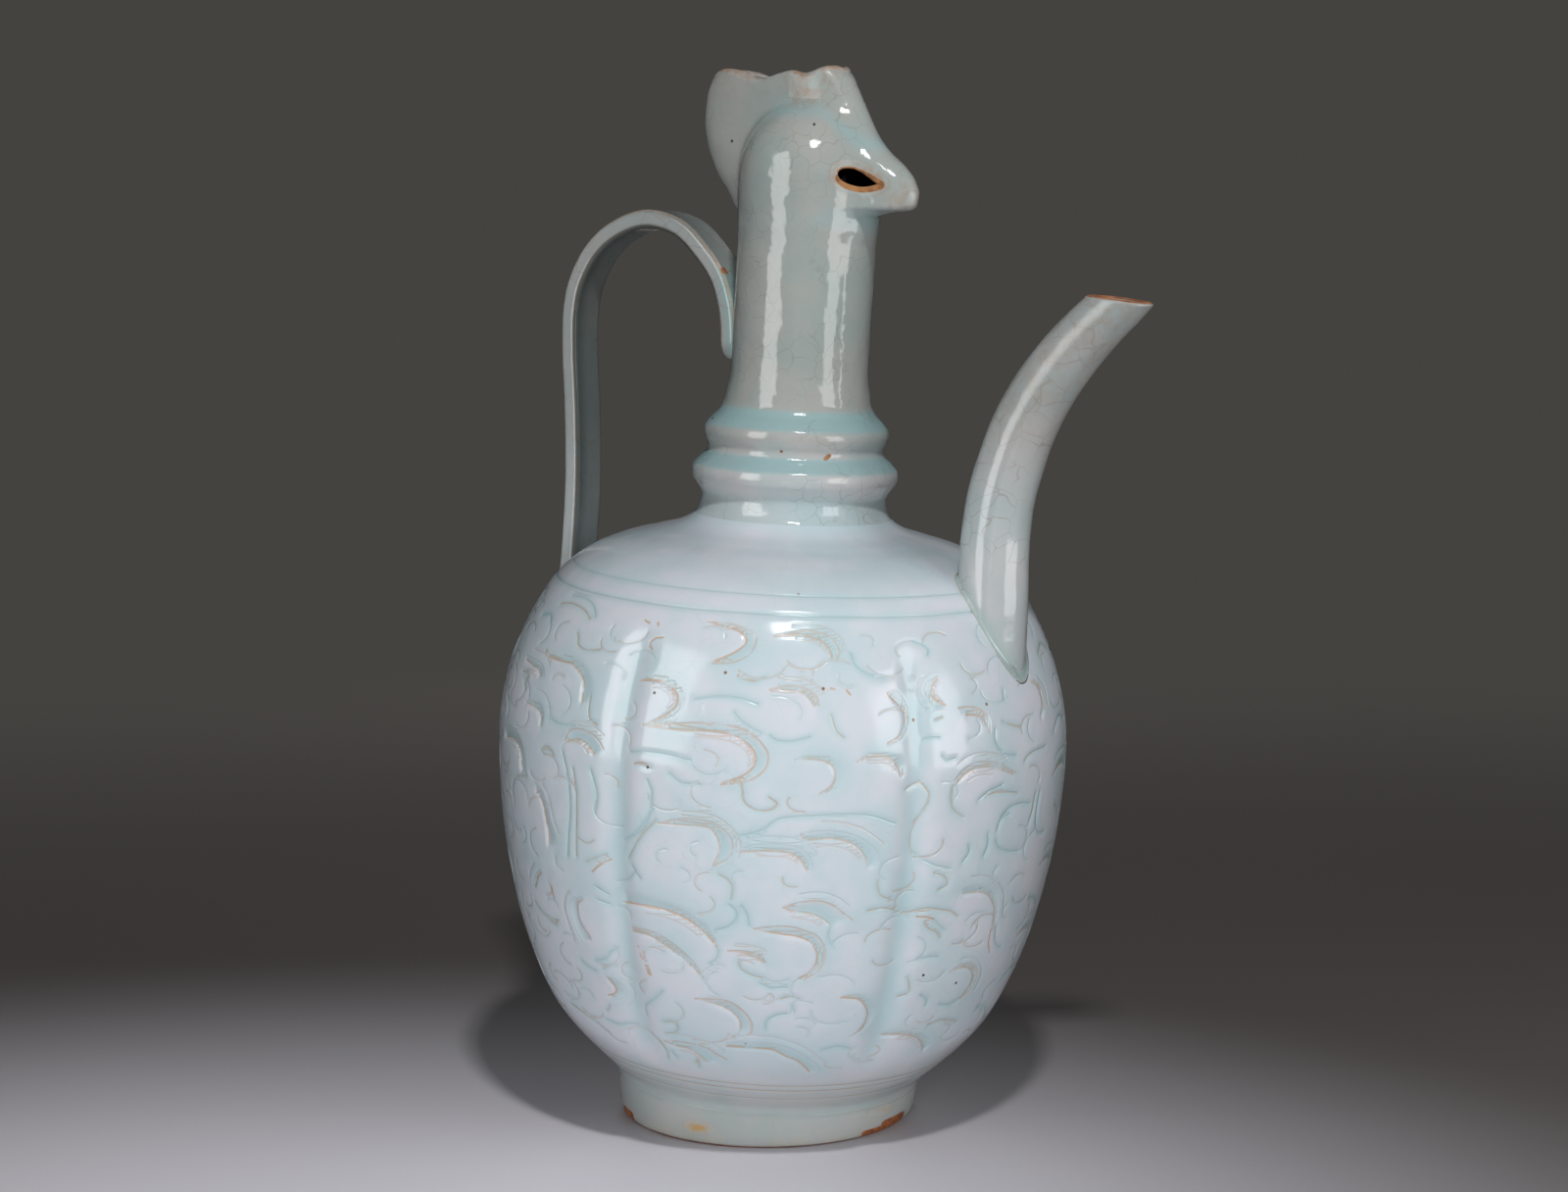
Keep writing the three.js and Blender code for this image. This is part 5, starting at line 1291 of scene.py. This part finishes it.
# painted shade darkens its inner face, most beside the front edge, and the top where it comes down to the
# neck
smoke = np.maximum(mix(*handle["shaded"], smooth(across, -halfWidth, 0)) * smooth(-out, *handle["shadeIn"])
                   * smooth(fromEnd, *handle["shadeFrom"]),
                   smooth(out, *handle["shadeOut"]) * bell(fromEnd - handle["shadeAt"], *handle["shadeTop"]))
table = gridNumbers(*grid.shape)
piece("handleStrap", "handle", "fitting_glaze", grid, {
    "thin": handle["edgeThin"] * atEdge * smooth(fromEnd, *handle["edges"]), "smoke": smoke,
    "bare": bell(fromEnd - handle["contactAt"], *handle["contact"]) * atContact,
    "pool": fading(fromEnd, *handle["pool"]) * smooth(out, *handle["poolOut"]) + handle["film"],
    "rimTone": handle["lineTone"] * (fromEnd > handle["lineFrom"]),
    "rim": np.broadcast_to(np.stack([toLine, 0 * toLine, np.abs(toLine)], -1), grid.shape)},
      [gridFaces(table), strip(np.full(handle["columns"], table[0, 0]), table[0]),
       strip(table[-1], np.full(handle["columns"], table[-1, 0]))])
fillet("handleFillet", "handle_slip_bead", onHandle, root, handle["fillet"])


# Floor, lights and world


def studioPaper(name, look):
    # seamless studio paper: matt, with a painted pool of light in front of the pot and painted shade round
    # it, and seen by the camera as the plain backdrop's colour farther off, so that no horizon shows
    made, add = newMaterial(name)
    place = add("TexCoord", {}, out="Object")
    inLitPool = add("Mapping", {"vector_type": "TEXTURE"}, {
        "Vector": place, "Location": (*look["litPoolAt"], 0.0), "Rotation": (0.0, 0.0, look["litPoolTurn"]),
        "Scale": (look["litPoolWide"], 1.0, 1.0)})
    fromLitPool, fromPot = (add("VectorMath", length, spot, out="Value") for spot in (inLitPool, place))
    colour = add("Mix", colours, {0: add("MapRange", easy, fromLitPool, *look["litPoolFade"]), 6: look["floor"],
                                  7: look["floorFar"]}, out=2)
    paper = add("BsdfPrincipled", {}, {"Base Color": colour, "Roughness": 0.8})
    backdrop = add("Emission", {}, {"Color": look["backdrop"]})
    share = add("Math", times, add("MapRange", easy, fromPot, *look["backdropFade"]),
                add("LightPath", {}, out="Is Camera Ray"))
    add("OutputMaterial", {}, {"Surface": add("MixShader", {}, share, paper, backdrop)})
    return made


studio = {
    # the floor's colours paint a pool of light in front of the pot and shade round it
    "floorRadius": 2.2, "floorCorners": 96, "floor": "#dfdce4", "floorFar": "#55514f",
    "litPoolAt": (-0.035, -0.255), "litPoolTurn": math.radians(33.5), "litPoolWide": 1.2, "litPoolFade": (0.08, 0.45),
    "backdrop": "#454340", "backdropFade": (0.25, 1.3), "surround": 0.018,
    "aim": (pot["shift"] / 1000, 0.0, 0.17),
    # turn about the pot in degrees, distance, width, height and mid height in m, watts, and what
    # sees it: it only shows in the glaze, or it only lights matt surfaces
    "lamps": {
        "leftCard": (-106, 0.80, 0.38, 0.66, 0.39, 3.8, "glossy"),
        "rightCard": (-2, 0.80, 0.54, 0.46, 0.29, 3.2, "glossy"),
        "leftSide": (-110, 0.90, 0.50, 0.60, 0.60, 0.6, "diffuse"),
        "rightSide": (2, 0.90, 0.50, 0.60, 0.42, 2.3, "diffuse"),
        "fill": (-65, 0.80, 0.18, 0.18, 0.10, 2.5, "diffuse"),
        "overhead": (-50, 0.75, 0.08, 0.08, 1.20, 7.9, "diffuse"),
        "backFill": (128, 1.5, 0.5, 0.5, 0.26, 7.5, "diffuse"),
        "spark": (-50, 0.45, 0.14, 0.10, 0.78, 1.1, "glossy"),
    },
}
edge = circle(studio["floorCorners"])
floorMesh = bpy.data.meshes.new("floor")
floorMesh.from_pydata((np.stack([np.cos(edge), np.sin(edge), 0 * edge], 1) * studio["floorRadius"]).tolist(),
                      [], [list(range(studio["floorCorners"]))])
floor = newObject("floor", floorMesh)
floorMesh.materials.append(studioPaper("studioPaper", studio))

for name, (turn, distance, wide, tall, height, watts, seenBy) in studio["lamps"].items():
    # each lamp faces a point on the pot's axis
    lamp = bpy.data.lights.new(name, "AREA")
    lamp.shape, lamp.size, lamp.size_y, lamp.energy = "RECTANGLE", wide, tall, watts
    made = newObject(name, lamp)
    turn, (x, y, z) = math.radians(turn), studio["aim"]
    made.location = (x + distance * math.cos(turn), y + distance * math.sin(turn), height)
    made.rotation_euler = (math.atan2(distance, height - z), 0, turn + math.pi / 2)
    made.visible_glossy, made.visible_diffuse = seenBy == "glossy", seenBy == "diffuse"
    made.visible_camera = False

# the camera sees the backdrop's colour, and the pot is lit by a dim white surround
world = bpy.data.worlds.new("studio")
bpy.context.scene.world = world
world.use_nodes = True
world.node_tree.nodes.clear()
add = partial(addNode, world.node_tree)
lit, seen = (add("Background", {}, {"Color": colour, "Strength": strength})
             for colour, strength in (("#ffffff", studio["surround"]), (studio["backdrop"], 1.0)))
cameraRay = add("LightPath", {}, out="Is Camera Ray")
add("OutputWorld", {}, {"Surface": add("MixShader", {}, cameraRay, lit, seen)})
bpy.context.scene.view_settings.view_transform = "Standard"
print("studio done")
